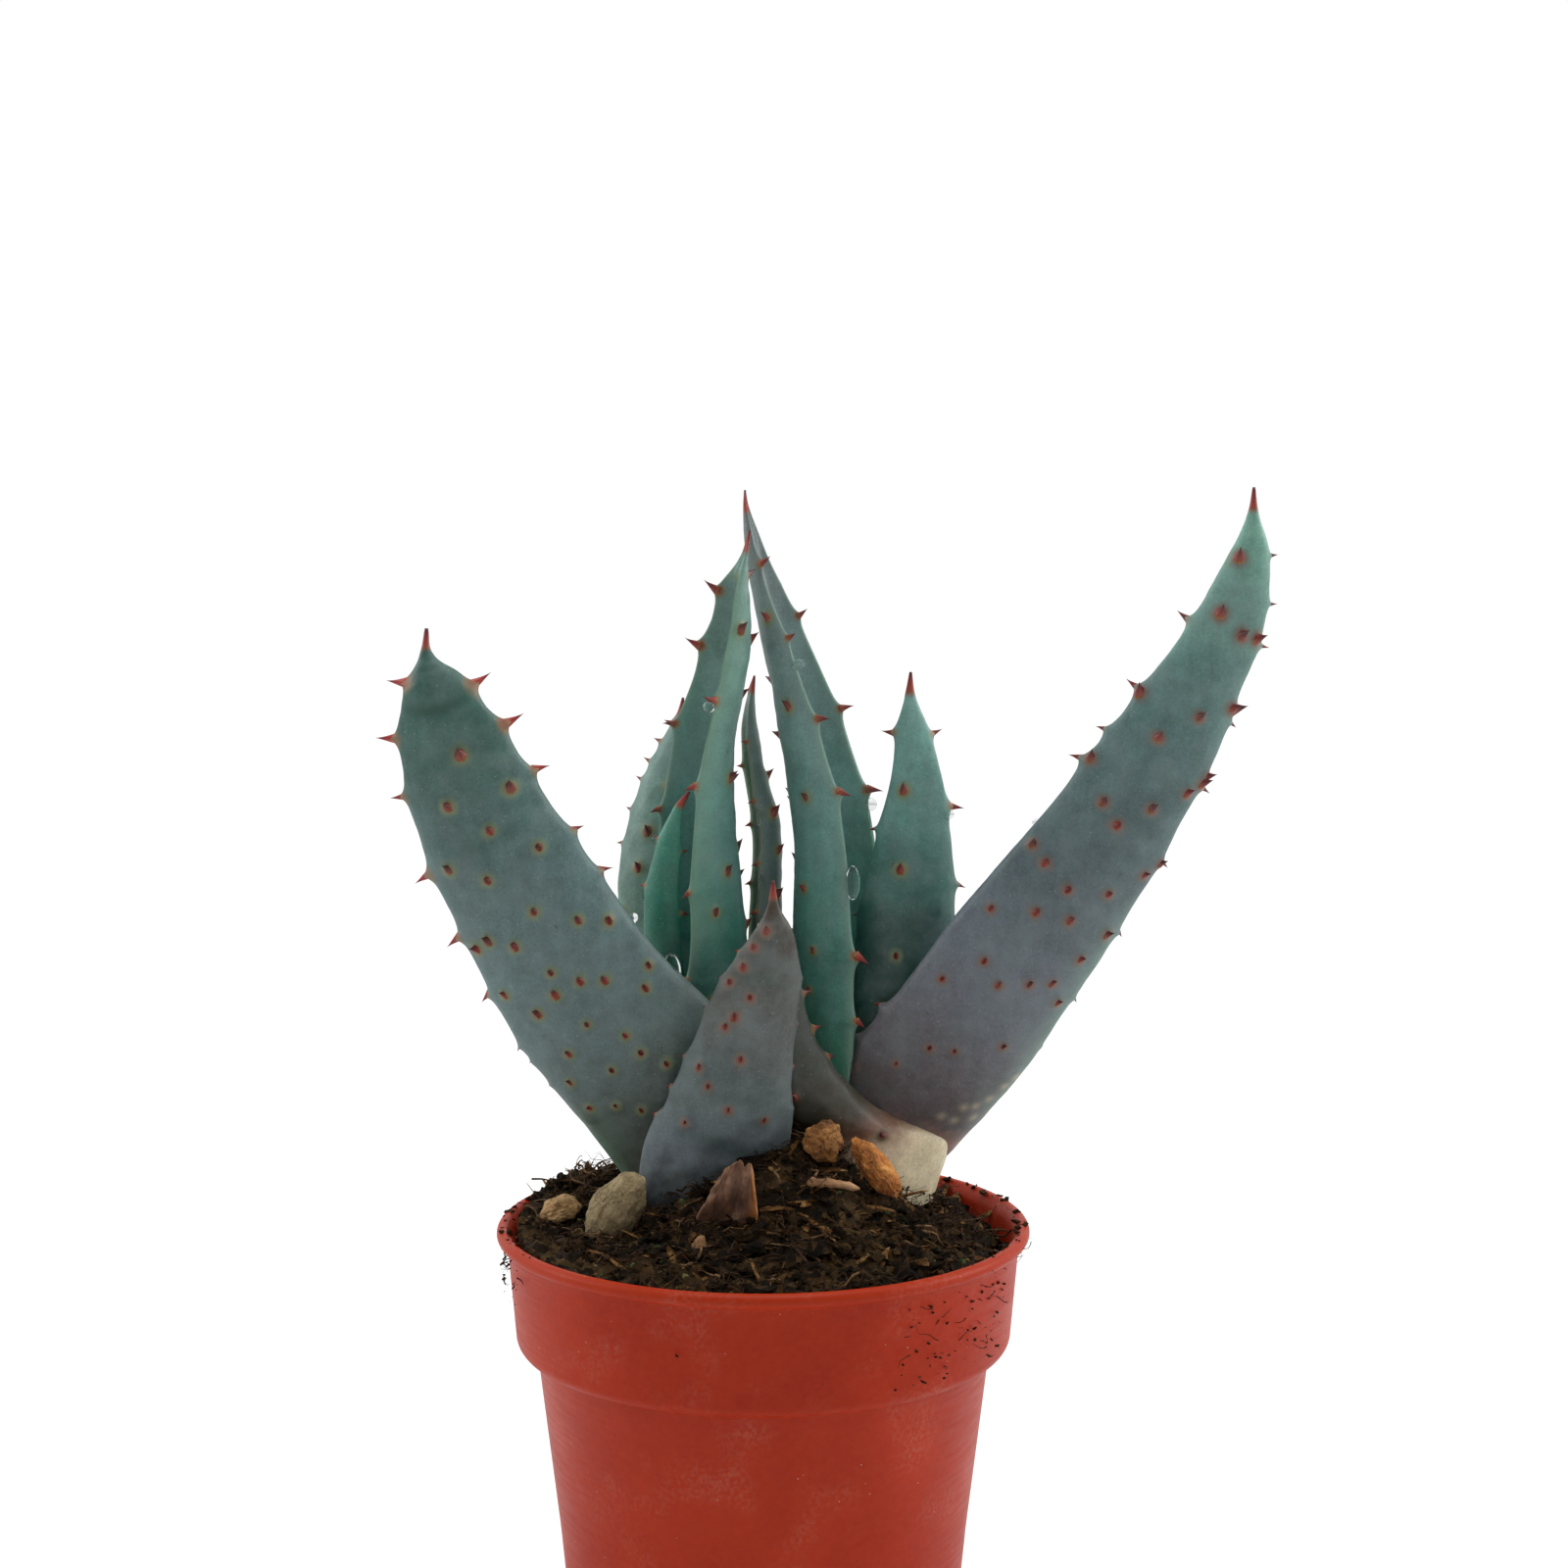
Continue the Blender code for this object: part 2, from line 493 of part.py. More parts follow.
def make_scrap(name, scrap, grow=0.0):
    """A thin bent scrap: a strip of sections whose middle bows, tapering at the far end."""
    points = []
    spin = (Matrix.Rotation(math.radians(scrap["twist"]), 3, "Z")
            @ Matrix.Rotation(math.radians(scrap["lean"]), 3, "Y"))
    width, depth, length = scrap["size"]
    extra = grow / MM
    for step in range(SCRAP_STEPS + 1):
        share = step / SCRAP_STEPS
        taper = 1.0 - SCRAP_TAPER * share ** 2
        taper *= SCRAP_FOOT + (1.0 - SCRAP_FOOT) * math.sin(math.pi * min(share * 2, 1.0))
        half = width / 2 * taper + extra
        thick = depth / 2 * (1.0 - SCRAP_THINNING * share) + extra
        rise = length * (share - 0.5)
        rise += extra if step == SCRAP_STEPS else -extra if step == 0 else 0.0
        shift = scrap["bow"] * math.sin(math.pi * share)
        for corner in range(SCRAP_SIDES):
            angle = 2 * math.pi * corner / SCRAP_SIDES
            local = Vector((math.cos(angle) * half,
                            math.sin(angle) * thick + shift + SCRAP_CUP * half * math.cos(2 * angle), rise))
            points.append((Vector(scrap["at"]) + spin @ local) * MM + Vector((0.0, 0.0, POT_HEIGHT)))
    top = SCRAP_STEPS * SCRAP_SIDES
    faces = [tuple(range(SCRAP_SIDES)), tuple(top + corner for corner in range(SCRAP_SIDES))]
    for step in range(SCRAP_STEPS):
        for corner in range(SCRAP_SIDES):
            after = (corner + 1) % SCRAP_SIDES
            a, b = step * SCRAP_SIDES, (step + 1) * SCRAP_SIDES
            faces.append((a + corner, a + after, b + after, b + corner))
    return add_mesh(name, points, faces)


def pieces(grow=0.0, suffix=""):
    """Every plant and litter piece, innermost first, true size or swollen as cutters."""
    made = [make_stem("stem_left" + suffix, CROWN_LEFT, grow),
            make_stem("stem_right" + suffix, CROWN_RIGHT, grow)]
    made += [leaf_shape(name + suffix, leaf, grow) for name, leaf in LEAVES.items()]
    made += [make_stone(name + suffix, stone, grow) for name, stone in LITTER.items()]
    made += [make_scrap(name + suffix, scrap, grow) for name, scrap in SCRAPS.items()]
    return made


def build():
    clear_scene()
    pot = make_pot()
    soil = make_soil()
    solids = pieces()
    cutters = [as_cutter(item) for item in pieces(GAP, "_room")]
    for index, solid in enumerate(solids):
        carve(solid, cutters[:index])
    carve(soil, cutters)
    pot.data.materials.append(material("pot_plastic", POT_COLOUR, 0.45))
    soil.data.materials.append(material("peat_soil", SOIL_COLOUR, 0.95))
    colours = {"stem_left": STEM_COLOUR, "stem_right": STEM_COLOUR}
    for shapes in (LEAVES, LITTER, SCRAPS):
        colours.update({name: shape["colour"] for name, shape in shapes.items()})
    for solid in solids:
        solid.data.materials.clear()
        solid.data.materials.append(material(solid.name, colours[solid.name], 0.6))


build()
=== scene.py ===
# %% [markdown]
# A young prickly aloe with two crowns grows in a small nursery pot. The plant is a fan of
# fleshy leaves, each with a hard point, red teeth along its margins and prickles on its back.
# The pot is full of peat with fibres, grit and a few stones lying on top.
#
# A solid model of the whole plant already exists and fixes every size. This lesson loads it,
# then makes a finely detailed piece over each of its parts, in the very same place.

# %% Load the solid model
import math

import bmesh
import bpy
import numpy as np
from mathutils import Matrix, Vector, noise


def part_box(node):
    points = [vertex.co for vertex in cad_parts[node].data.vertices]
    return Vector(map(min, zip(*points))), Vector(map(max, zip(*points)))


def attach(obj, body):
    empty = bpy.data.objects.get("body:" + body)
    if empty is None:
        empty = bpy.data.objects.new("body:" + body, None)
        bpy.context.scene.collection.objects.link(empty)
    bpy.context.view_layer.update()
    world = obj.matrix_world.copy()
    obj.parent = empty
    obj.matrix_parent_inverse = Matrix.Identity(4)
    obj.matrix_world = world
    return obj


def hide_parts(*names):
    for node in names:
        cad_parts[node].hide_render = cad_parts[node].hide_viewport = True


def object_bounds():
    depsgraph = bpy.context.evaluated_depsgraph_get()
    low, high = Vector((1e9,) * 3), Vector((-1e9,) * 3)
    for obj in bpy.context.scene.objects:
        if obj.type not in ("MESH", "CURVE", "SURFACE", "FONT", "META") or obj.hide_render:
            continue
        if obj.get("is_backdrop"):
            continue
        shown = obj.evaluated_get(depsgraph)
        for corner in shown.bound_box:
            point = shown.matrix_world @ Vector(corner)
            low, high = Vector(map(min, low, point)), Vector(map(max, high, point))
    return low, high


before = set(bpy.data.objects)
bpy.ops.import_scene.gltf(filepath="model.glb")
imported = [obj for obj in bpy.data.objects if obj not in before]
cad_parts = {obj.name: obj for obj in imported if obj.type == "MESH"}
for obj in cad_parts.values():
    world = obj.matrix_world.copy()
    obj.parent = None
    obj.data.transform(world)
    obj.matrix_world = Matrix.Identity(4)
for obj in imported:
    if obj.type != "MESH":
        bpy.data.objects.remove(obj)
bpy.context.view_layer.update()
MM = 0.001
pot_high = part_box("pot")[1]
LIP = pot_high[2]
RIM_RADIUS = pot_high[1]


def put(name, data):
    """A new object in the scene, at the origin."""
    made = bpy.data.objects.new(name, data)
    bpy.context.scene.collection.objects.link(made)
    return made


# %% [markdown]
# A plant in a pot is best seen from a little above its soil line, with a normal lens, so the
# leaves stand tall and the pot's rim still shows as a flat oval. The camera looks slightly
# down. Its height and distance are measured from the pot, so the view follows the plant.

# %% Camera
ASIDE, AWAY, ABOVE_LIP = 3.3 * MM, 370.8 * MM, 98.6 * MM
LOOK_DOWN = 4.43  # degrees

camera_data = bpy.data.cameras.new("plant_camera")
camera_data.lens = 54.0
camera_data.clip_start = 0.01
camera = put("plant_camera", camera_data)
camera.location = (ASIDE, -AWAY, LIP + ABOVE_LIP)
camera.rotation_euler = (math.radians(90.0 - LOOK_DOWN), 0.0, 0.0)
bpy.context.scene.camera = camera
bpy.context.scene.view_settings.view_transform = "Standard"
print("camera", round(camera.location.length, 3), "m from the foot of the pot")

# %% [markdown]
# Small plants are shown on white, so the plant stands on a pale floor that runs far past the
# view. A little light of its own, seen only by the camera, hides the line where it ends.

# %% Floor
REACH = 6.0
FLOOR_GLOW, GLOW_SHARE = 1.25, 0.72

floor_mesh = bpy.data.meshes.new("studio_floor")
floor_mesh.from_pydata([(-REACH, -REACH, 0), (REACH, -REACH, 0), (REACH, REACH, 0), (-REACH, REACH, 0)],
                       [], [(0, 1, 2, 3)])
floor = put("studio_floor", floor_mesh)
floor.location.z = -0.2 * MM
floor_paint = bpy.data.materials.new("studio_white")
floor_paint.use_nodes = True
nodes, links = floor_paint.node_tree.nodes, floor_paint.node_tree.links
floor_shader = nodes["Principled BSDF"]
floor_shader.inputs["Base Color"].default_value = (0.90, 0.90, 0.90, 1.0)
floor_shader.inputs["Roughness"].default_value = 0.85
glow = nodes.new("ShaderNodeEmission")
glow.inputs["Strength"].default_value = FLOOR_GLOW
seen = nodes.new("ShaderNodeLightPath")
mixed = nodes.new("ShaderNodeMixShader")
share = nodes.new("ShaderNodeMath")
share.operation = "MULTIPLY"
share.inputs[1].default_value = GLOW_SHARE
links.new(seen.outputs["Is Camera Ray"], share.inputs[0])
links.new(share.outputs[0], mixed.inputs[0])
links.new(floor_shader.outputs[0], mixed.inputs[1])
links.new(glow.outputs[0], mixed.inputs[2])
links.new(mixed.outputs[0], nodes["Material Output"].inputs["Surface"])
floor_mesh.materials.append(floor_paint)
floor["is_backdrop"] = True
print("floor", 2 * REACH, "m wide")

# %% [markdown]
# The room is brightest behind the plant and at its sides, and dim behind the camera, so the
# leaves are rimmed with light and stay deep in colour at their middles.

# %% Bright room
room = bpy.data.worlds.new("bright_room")
room.use_nodes = True
nodes, links = room.node_tree.nodes, room.node_tree.links
heading = nodes.new("ShaderNodeTexCoord")
parts = nodes.new("ShaderNodeSeparateXYZ")
depth = nodes.new("ShaderNodeMapRange")
for key, value in (("From Min", -1.0), ("From Max", 0.7), ("To Min", 0.16), ("To Max", 0.85)):
    depth.inputs[key].default_value = value
seen = nodes.new("ShaderNodeLightPath")
level = nodes.new("ShaderNodeMix")
level.inputs[3].default_value = 1.0
nodes["Background"].inputs["Color"].default_value = (1.0, 1.0, 1.0, 1.0)
links.new(heading.outputs["Generated"], parts.inputs[0])
links.new(parts.outputs["Y"], depth.inputs["Value"])
links.new(seen.outputs["Is Camera Ray"], level.inputs[0])
links.new(depth.outputs["Result"], level.inputs[2])
links.new(level.outputs[0], nodes["Background"].inputs["Strength"])
bpy.context.scene.world = room
print("room with", len(nodes), "nodes")

# %% [markdown]
# Wide round lamps on both sides and above give the waxy leaves a soft sheen, and leave no
# hard shadows among them. All three aim at the heart of the plant, just over the lip.

# %% Soft lamps
def soft_lamp(name, place, aim, power, size):
    data = bpy.data.lights.new(name, "AREA")
    data.energy = power
    data.shape = "DISK"
    data.size = size
    lamp = put(name, data)
    lamp.location = place
    lamp.rotation_euler = (Vector(aim) - Vector(place)).to_track_quat("-Z", "Y").to_euler()


plant_heart = (0.0, 0.0, LIP + 0.03)
soft_lamp("lamp_left", (-0.80, 0.05, 0.50), plant_heart, 2.0, 0.5)
soft_lamp("lamp_right", (0.80, 0.10, 0.45), plant_heart, 3.0, 0.5)
soft_lamp("lamp_top", (0.05, -0.10, 0.95), plant_heart, 2.4, 0.6)
print("three lamps")

# %% [markdown]
# The same small jobs come up in every cell below: turning points and faces into a mesh,
# settling its modifiers, facing it outwards, and handing a finished piece to the frame.
# Each gets one helper here.

# %% Helpers for pieces
def new_piece(name, points, faces, paint, node=None):
    """A plain mesh piece in its final place, riding on the plant's one body."""
    mesh = bpy.data.meshes.new(name)
    mesh.from_pydata([tuple(point) for point in points], [], faces)
    mesh.validate()
    face_out(mesh)
    mesh.shade_smooth()
    mesh.materials.append(paint)
    return hand_over(put(name, mesh), node)


def hand_over(piece, node=None):
    """Lets a finished piece ride on the plant's body, hides the node that it stands for, and prints its face count.
    """
    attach(piece, "root")
    if node:
        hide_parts(node)
    print(piece.name, len(piece.data.polygons), "faces")
    return piece


def face_out(mesh):
    work = bmesh.new()
    work.from_mesh(mesh)
    bmesh.ops.recalc_face_normals(work, faces=work.faces)
    work.to_mesh(mesh)
    work.free()


def settle(piece):
    """Gives a piece the plain mesh that its modifiers make of it."""
    plain = bpy.data.meshes.new_from_object(piece.evaluated_get(bpy.context.evaluated_depsgraph_get()))
    piece.modifiers.clear()
    piece.data = plain


def grid_faces(rows, columns):
    """Four-sided faces of a grid whose points come row by row."""
    wide = columns + 1
    return [(r * wide + c, r * wide + c + 1, (r + 1) * wide + c + 1, (r + 1) * wide + c)
            for r in range(rows) for c in range(columns)]


print("piece helpers ready")

# %% [markdown]
# A procedural material is a small machine of nodes: noise, bands, ramps and mixes. Written
# out link by link it is hard to follow, so each of these helpers makes one node, links it and
# returns its output. A finish then reads like a recipe, from the inside outwards.

# %% Helpers for shader nodes
def new_paint(name):
    paint = bpy.data.materials.new(name)
    paint.use_nodes = True
    return paint, paint.node_tree.nodes, paint.node_tree.links, paint.node_tree.nodes["Principled BSDF"]


def add_node(nodes, kind, **settings):
    made = nodes.new(kind)
    for key, value in settings.items():
        setattr(made, key, value)
    return made


def set_inputs(node, **values):
    """Sets a node's inputs by name, with an underscore for each space."""
    for label, value in values.items():
        node.inputs[label.replace("_", " ")].default_value = value


def colour_mix(nodes, links, factor, first, second, blend="MIX"):
    """Blends two colours; each input is a socket or a plain value."""
    mixer = add_node(nodes, "ShaderNodeMix", data_type="RGBA", blend_type=blend)
    for socket, value in ((mixer.inputs[0], factor), (mixer.inputs[6], first), (mixer.inputs[7], second)):
        if isinstance(value, bpy.types.NodeSocket):
            links.new(value, socket)
        else:
            socket.default_value = value if socket == mixer.inputs[0] else (*value, 1.0)
    return mixer.outputs[2]


def sum_up(nodes, links, operation, first, second, clamp=False):
    """One Math node; each input is a socket or a number."""
    made = add_node(nodes, "ShaderNodeMath", operation=operation, use_clamp=clamp)
    for socket, value in zip(made.inputs, (first, second)):
        if isinstance(value, bpy.types.NodeSocket):
            links.new(value, socket)
        else:
            socket.default_value = value
    return made.outputs[0]


def noise_at(nodes, links, place, scale, detail=4.0, roughness=0.55, distortion=0.0):
    made = add_node(nodes, "ShaderNodeTexNoise")
    links.new(place, made.inputs["Vector"])
    set_inputs(made, Scale=scale, Detail=detail, Roughness=roughness, Distortion=distortion)
    return made.outputs["Fac"]


def band_of(nodes, links, value, low, high, to_low=0.0, to_high=1.0):
    """Rescales a value from one range to another, clamped."""
    made = add_node(nodes, "ShaderNodeMapRange")
    links.new(value, made.inputs["Value"])
    for key, number in (("From Min", low), ("From Max", high), ("To Min", to_low), ("To Max", to_high)):
        made.inputs[key].default_value = number
    return made.outputs["Result"]


def ramp_of(nodes, links, value, stops):
    """A colour ramp from (place, colour) stops."""
    made = add_node(nodes, "ShaderNodeValToRGB")
    band = made.color_ramp
    while len(band.elements) < len(stops):
        band.elements.new(0.5)
    for element, (place, colour) in zip(band.elements, stops):
        element.position = place
        element.color = (*colour, 1.0)
    links.new(value, made.inputs["Fac"])
    return made.outputs["Color"]


def new_effect(name, inputs, outputs):
    """An empty shader node group with named sockets, and its ends."""
    group = bpy.data.node_groups.new(name, "ShaderNodeTree")
    for label, kind, value in inputs:
        socket = group.interface.new_socket(label, in_out="INPUT", socket_type=kind)
        if value is not None:
            socket.default_value = value
    for label, kind in outputs:
        group.interface.new_socket(label, in_out="OUTPUT", socket_type=kind)
    return group, group.nodes.new("NodeGroupInput"), group.nodes.new("NodeGroupOutput")


def use_effect(nodes, group):
    placed = nodes.new("ShaderNodeGroup")
    placed.node_tree = group
    return placed


def relief(nodes, links, shader, height, distance, strength=1.0):
    """A Bump node from a height to a shader's normal."""
    bump = add_node(nodes, "ShaderNodeBump")
    set_inputs(bump, Distance=distance, Strength=strength)
    links.new(height, bump.inputs["Height"])
    links.new(bump.outputs["Normal"], shader.inputs["Normal"])


print("shader helpers ready")

# %% [markdown]
# Splashed water, old scratches and peat dust lie on the pot and the stones alike.
# One node group makes this dust: soft patches broken up by fine grains, as a mask from 0 to 1.

# %% The dust effect
dust, ends_in, ends_out = new_effect(
    "dust_and_specks",
    [("Place", "NodeSocketVector", None), ("Patch Scale", "NodeSocketFloat", 60.0),
     ("Grain Scale", "NodeSocketFloat", 1400.0), ("Cover", "NodeSocketFloat", 0.5)],
    [("Mask", "NodeSocketFloat"), ("Specks", "NodeSocketFloat")])
nodes, links = dust.nodes, dust.links
patches = add_node(nodes, "ShaderNodeTexNoise")
grains = add_node(nodes, "ShaderNodeTexNoise")
specks = add_node(nodes, "ShaderNodeTexVoronoi", feature="F1")
for texture, scale in ((patches, "Patch Scale"), (grains, "Grain Scale"), (specks, "Grain Scale")):
    links.new(ends_in.outputs["Place"], texture.inputs["Vector"])
    links.new(ends_in.outputs[scale], texture.inputs["Scale"])
patches.inputs["Detail"].default_value = 5.0
grains.inputs["Detail"].default_value = 3.0
low_edge = sum_up(nodes, links, "SUBTRACT", 0.95, ends_in.outputs["Cover"])
patch_mask = sum_up(nodes, links, "MULTIPLY", sum_up(nodes, links, "SUBTRACT", patches.outputs["Fac"],
                    sum_up(nodes, links, "MULTIPLY", low_edge, 0.7)), 4.0, True)
grain_mask = band_of(nodes, links, grains.outputs["Fac"], 0.42, 0.62)
links.new(sum_up(nodes, links, "MULTIPLY", patch_mask, grain_mask, True), ends_out.inputs["Mask"])
dots = band_of(nodes, links, specks.outputs["Distance"], 0.10, 0.16, 1.0, 0.0)
chosen = sum_up(nodes, links, "LESS_THAN", specks.outputs["Color"], 0.10)
links.new(sum_up(nodes, links, "MULTIPLY", dots, chosen, True), ends_out.inputs["Specks"])


def use_dust(nodes, links, place, patch_scale, grain_scale, cover):
    """Places the dust group in a material and returns its mask and its specks."""
    marks = use_effect(nodes, dust)
    links.new(place, marks.inputs["Place"])
    set_inputs(marks, Patch_Scale=patch_scale, Grain_Scale=grain_scale, Cover=cover)
    return marks.outputs["Mask"], marks.outputs["Specks"]


print("dust group with", len(nodes), "nodes")

# %% [markdown]
# The pot is one thin moulding of brick-red polypropylene: a tapering body, and a wider band
# at the top so that pots stack without jamming. The lip is rolled over to stiffen it. Its
# shape is a profile turned about an axis, so it is made in the same way, with enough sides
# to keep its outline round.

# %% Turn the pot
BAND_HEIGHT = 19.5 * MM
BAND_RADIUS = RIM_RADIUS - 1.75 * MM
BAND_FOOT_RADIUS = BAND_RADIUS - 1.2 * MM
BODY_TOP_RADIUS = 36.25 * MM
BASE_RADIUS = 30.0 * MM
LIP_RADIUS = 1.1 * MM
WALL = 1.2 * MM
FLOOR_TOP = 1.6 * MM
BAND_FOOT = LIP - BAND_HEIGHT
INNER_RADIUS = BAND_RADIUS - WALL


def arc(centre, radius, start, end, steps):
    angles = [math.radians(start + (end - start) * step / steps) for step in range(steps + 1)]
    return [(centre[0] + radius * math.cos(a), centre[1] + radius * math.sin(a)) for a in angles]


def turned(profile, sides):
    """Points and faces of a profile of (radius, z) turned about the pot's axis."""
    points, rings = [], []
    for radius, z in profile:
        count = sides if radius > 0 else 1
        rings.append(list(range(len(points), len(points) + count)))
        points += [(radius * math.cos(2 * math.pi * k / count), radius * math.sin(2 * math.pi * k / count), z)
                   for k in range(count)]
    faces = []
    for low, high in zip(rings, rings[1:]):
        for k in range(sides):
            corner = (low[k % len(low)], low[(k + 1) % len(low)],
                      high[(k + 1) % len(high)], high[k % len(high)])
            faces.append(tuple(dict.fromkeys(corner)))
    return points, faces


outside = [(0.0, 0.0), (BASE_RADIUS * 0.6, 0.0)]
outside += arc((BASE_RADIUS - 1.5 * MM, 1.5 * MM), 1.5 * MM, -90, 0, 8)
outside += [(BODY_TOP_RADIUS - 0.0035, BAND_FOOT * 0.5), (BODY_TOP_RADIUS, BAND_FOOT - 0.6 * MM),
            (BODY_TOP_RADIUS + 0.4 * MM, BAND_FOOT)]
outside += arc((BAND_FOOT_RADIUS - 2.2 * MM, BAND_FOOT + 2.2 * MM), 2.2 * MM, -90, 0, 10)
outside += [(BAND_RADIUS - 0.3 * MM, LIP - 7 * MM), (BAND_RADIUS, LIP - 3.2 * MM),
            (BAND_RADIUS + 0.25 * MM, LIP - 2.5 * MM), (BAND_RADIUS + 0.75 * MM, LIP - 2.3 * MM)]
outside += arc((RIM_RADIUS - LIP_RADIUS, LIP - LIP_RADIUS), LIP_RADIUS, -50, 130, 12)
inside = [(INNER_RADIUS, LIP - 2.2 * MM), (BAND_FOOT_RADIUS - WALL, BAND_FOOT + WALL + 1.1 * MM),
          (BODY_TOP_RADIUS - WALL, BAND_FOOT + WALL), (BASE_RADIUS - WALL, FLOOR_TOP), (0.0, FLOOR_TOP)]
points, faces = turned(outside + inside, 192)
pot_mesh = bpy.data.meshes.new("nursery_pot")
pot_mesh.from_pydata(points, [], faces)
face_out(pot_mesh)
pot_mesh.shade_smooth()
pot_mesh.set_sharp_from_angle(angle=math.radians(38))
pot = put("nursery_pot", pot_mesh)
print("pot", len(faces), "faces")

# %% [markdown]
# Water has to leave a nursery pot, so its floor has a ring of round holes. Each is a real
# hole: a short cylinder is cut out of the floor with a Boolean modifier, in the same places
# as in the solid model, and the modifiers are settled before the pot is painted.

# %% Drill the drainage holes
DRAIN_COUNT = 6
DRAIN_RADIUS, DRAIN_CIRCLE_RADIUS, DRILL_REACH = 3.5 * MM, 20.0 * MM, 3.0 * MM
FIRST_DRAIN = math.pi / 48

drills = []
for index in range(DRAIN_COUNT):
    heading = 2 * math.pi * index / DRAIN_COUNT + FIRST_DRAIN
    points, faces = turned([(0.0, -DRILL_REACH), (DRAIN_RADIUS, -DRILL_REACH), (DRAIN_RADIUS, DRILL_REACH),
                            (0.0, DRILL_REACH)], 28)
    drill_mesh = bpy.data.meshes.new("drill")
    drill_mesh.from_pydata(points, [], faces)
    face_out(drill_mesh)
    drill_mesh.transform(Matrix.Translation((DRAIN_CIRCLE_RADIUS * math.cos(heading),
                                             DRAIN_CIRCLE_RADIUS * math.sin(heading), 0.0)))
    drill = put("drill", drill_mesh)
    drills.append(drill)
    cut = pot.modifiers.new("drain", "BOOLEAN")
    cut.operation = "DIFFERENCE"
    cut.solver = "EXACT"
    cut.object = drill
settle(pot)
for drill in drills:
    bpy.data.objects.remove(drill, do_unlink=True)
print(DRAIN_COUNT, "drainage holes")

# %% [markdown]
# The plastic is a warm brick red with a satin gloss, and light goes a little way into it. It
# has handling scuffs, pale water marks, flecks of dust, and a painted highlight that lightens
# the top of the lip. Fine rings, left by the mould, run round it in the roughness and the relief.

# %% Paint the pot
pot_paint, nodes, links, shader = new_paint("pot_plastic")
place = add_node(nodes, "ShaderNodeTexCoord").outputs["Object"]
slow = noise_at(nodes, links, place, 45.0, 3.0)
fine = noise_at(nodes, links, place, 900.0, 5.0, 0.6)
red = ramp_of(nodes, links, slow, [(0.35, (0.37, 0.020, 0.003)), (0.65, (0.46, 0.030, 0.005))])
red = colour_mix(nodes, links, band_of(nodes, links, fine, 0.35, 0.75, 0.0, 0.35), red, (0.54, 0.050, 0.010))
height = add_node(nodes, "ShaderNodeSeparateXYZ")
links.new(place, height.inputs[0])
# Painted highlight: the top of the rolled lip is lightened, as if it caught the light.
lip_highlight = band_of(nodes, links, height.outputs["Z"], LIP - 2.4 * MM, LIP - 1.0 * MM)
red = colour_mix(nodes, links, sum_up(nodes, links, "MULTIPLY", lip_highlight, 0.6), red, (0.46, 0.036, 0.006))
mask, specks = use_dust(nodes, links, place, 85.0, 1500.0, 0.22)
red = colour_mix(nodes, links, sum_up(nodes, links, "MULTIPLY", mask, 0.16), red, (0.72, 0.40, 0.30))
red = colour_mix(nodes, links, sum_up(nodes, links, "MULTIPLY", specks, 0.8), red, (0.85, 0.62, 0.50))
links.new(red, shader.inputs["Base Color"])
scratch = add_node(nodes, "ShaderNodeMapping")
scratch.inputs["Scale"].default_value = (1.0, 1.0, 14.0)
links.new(place, scratch.inputs["Vector"])
rings = noise_at(nodes, links, scratch.outputs["Vector"], 120.0, 4.0)
links.new(band_of(nodes, links, rings, 0.3, 0.7, 0.36, 0.50), shader.inputs["Roughness"])
relief(nodes, links, shader, sum_up(nodes, links, "ADD", sum_up(nodes, links, "MULTIPLY", fine, 0.5), rings),
       0.00006, 0.5)
set_inputs(shader, Specular_IOR_Level=0.16, Subsurface_Weight=0.12, Subsurface_Radius=(1.0, 0.2, 0.08),
           Subsurface_Scale=1.5 * MM)
pot.data.materials.clear()
pot.data.materials.append(pot_paint)
hand_over(pot, "pot")
print("pot painted with", len(nodes), "nodes")

# %% [markdown]
# An aloe leaf is a long tapering trough. Its back bulges, its inner face is hollow, and the
# flesh is thickest in the middle. The maker writes it down as rows along the leaf, in mm from
# the crown: x, y, z, width and bulge, the same rows as in the solid model, so every leaf fits
# its own. Then come the thorns: (place along the leaf, length) for the teeth of each margin,
# and (place, how far across) for the prickles of the back.

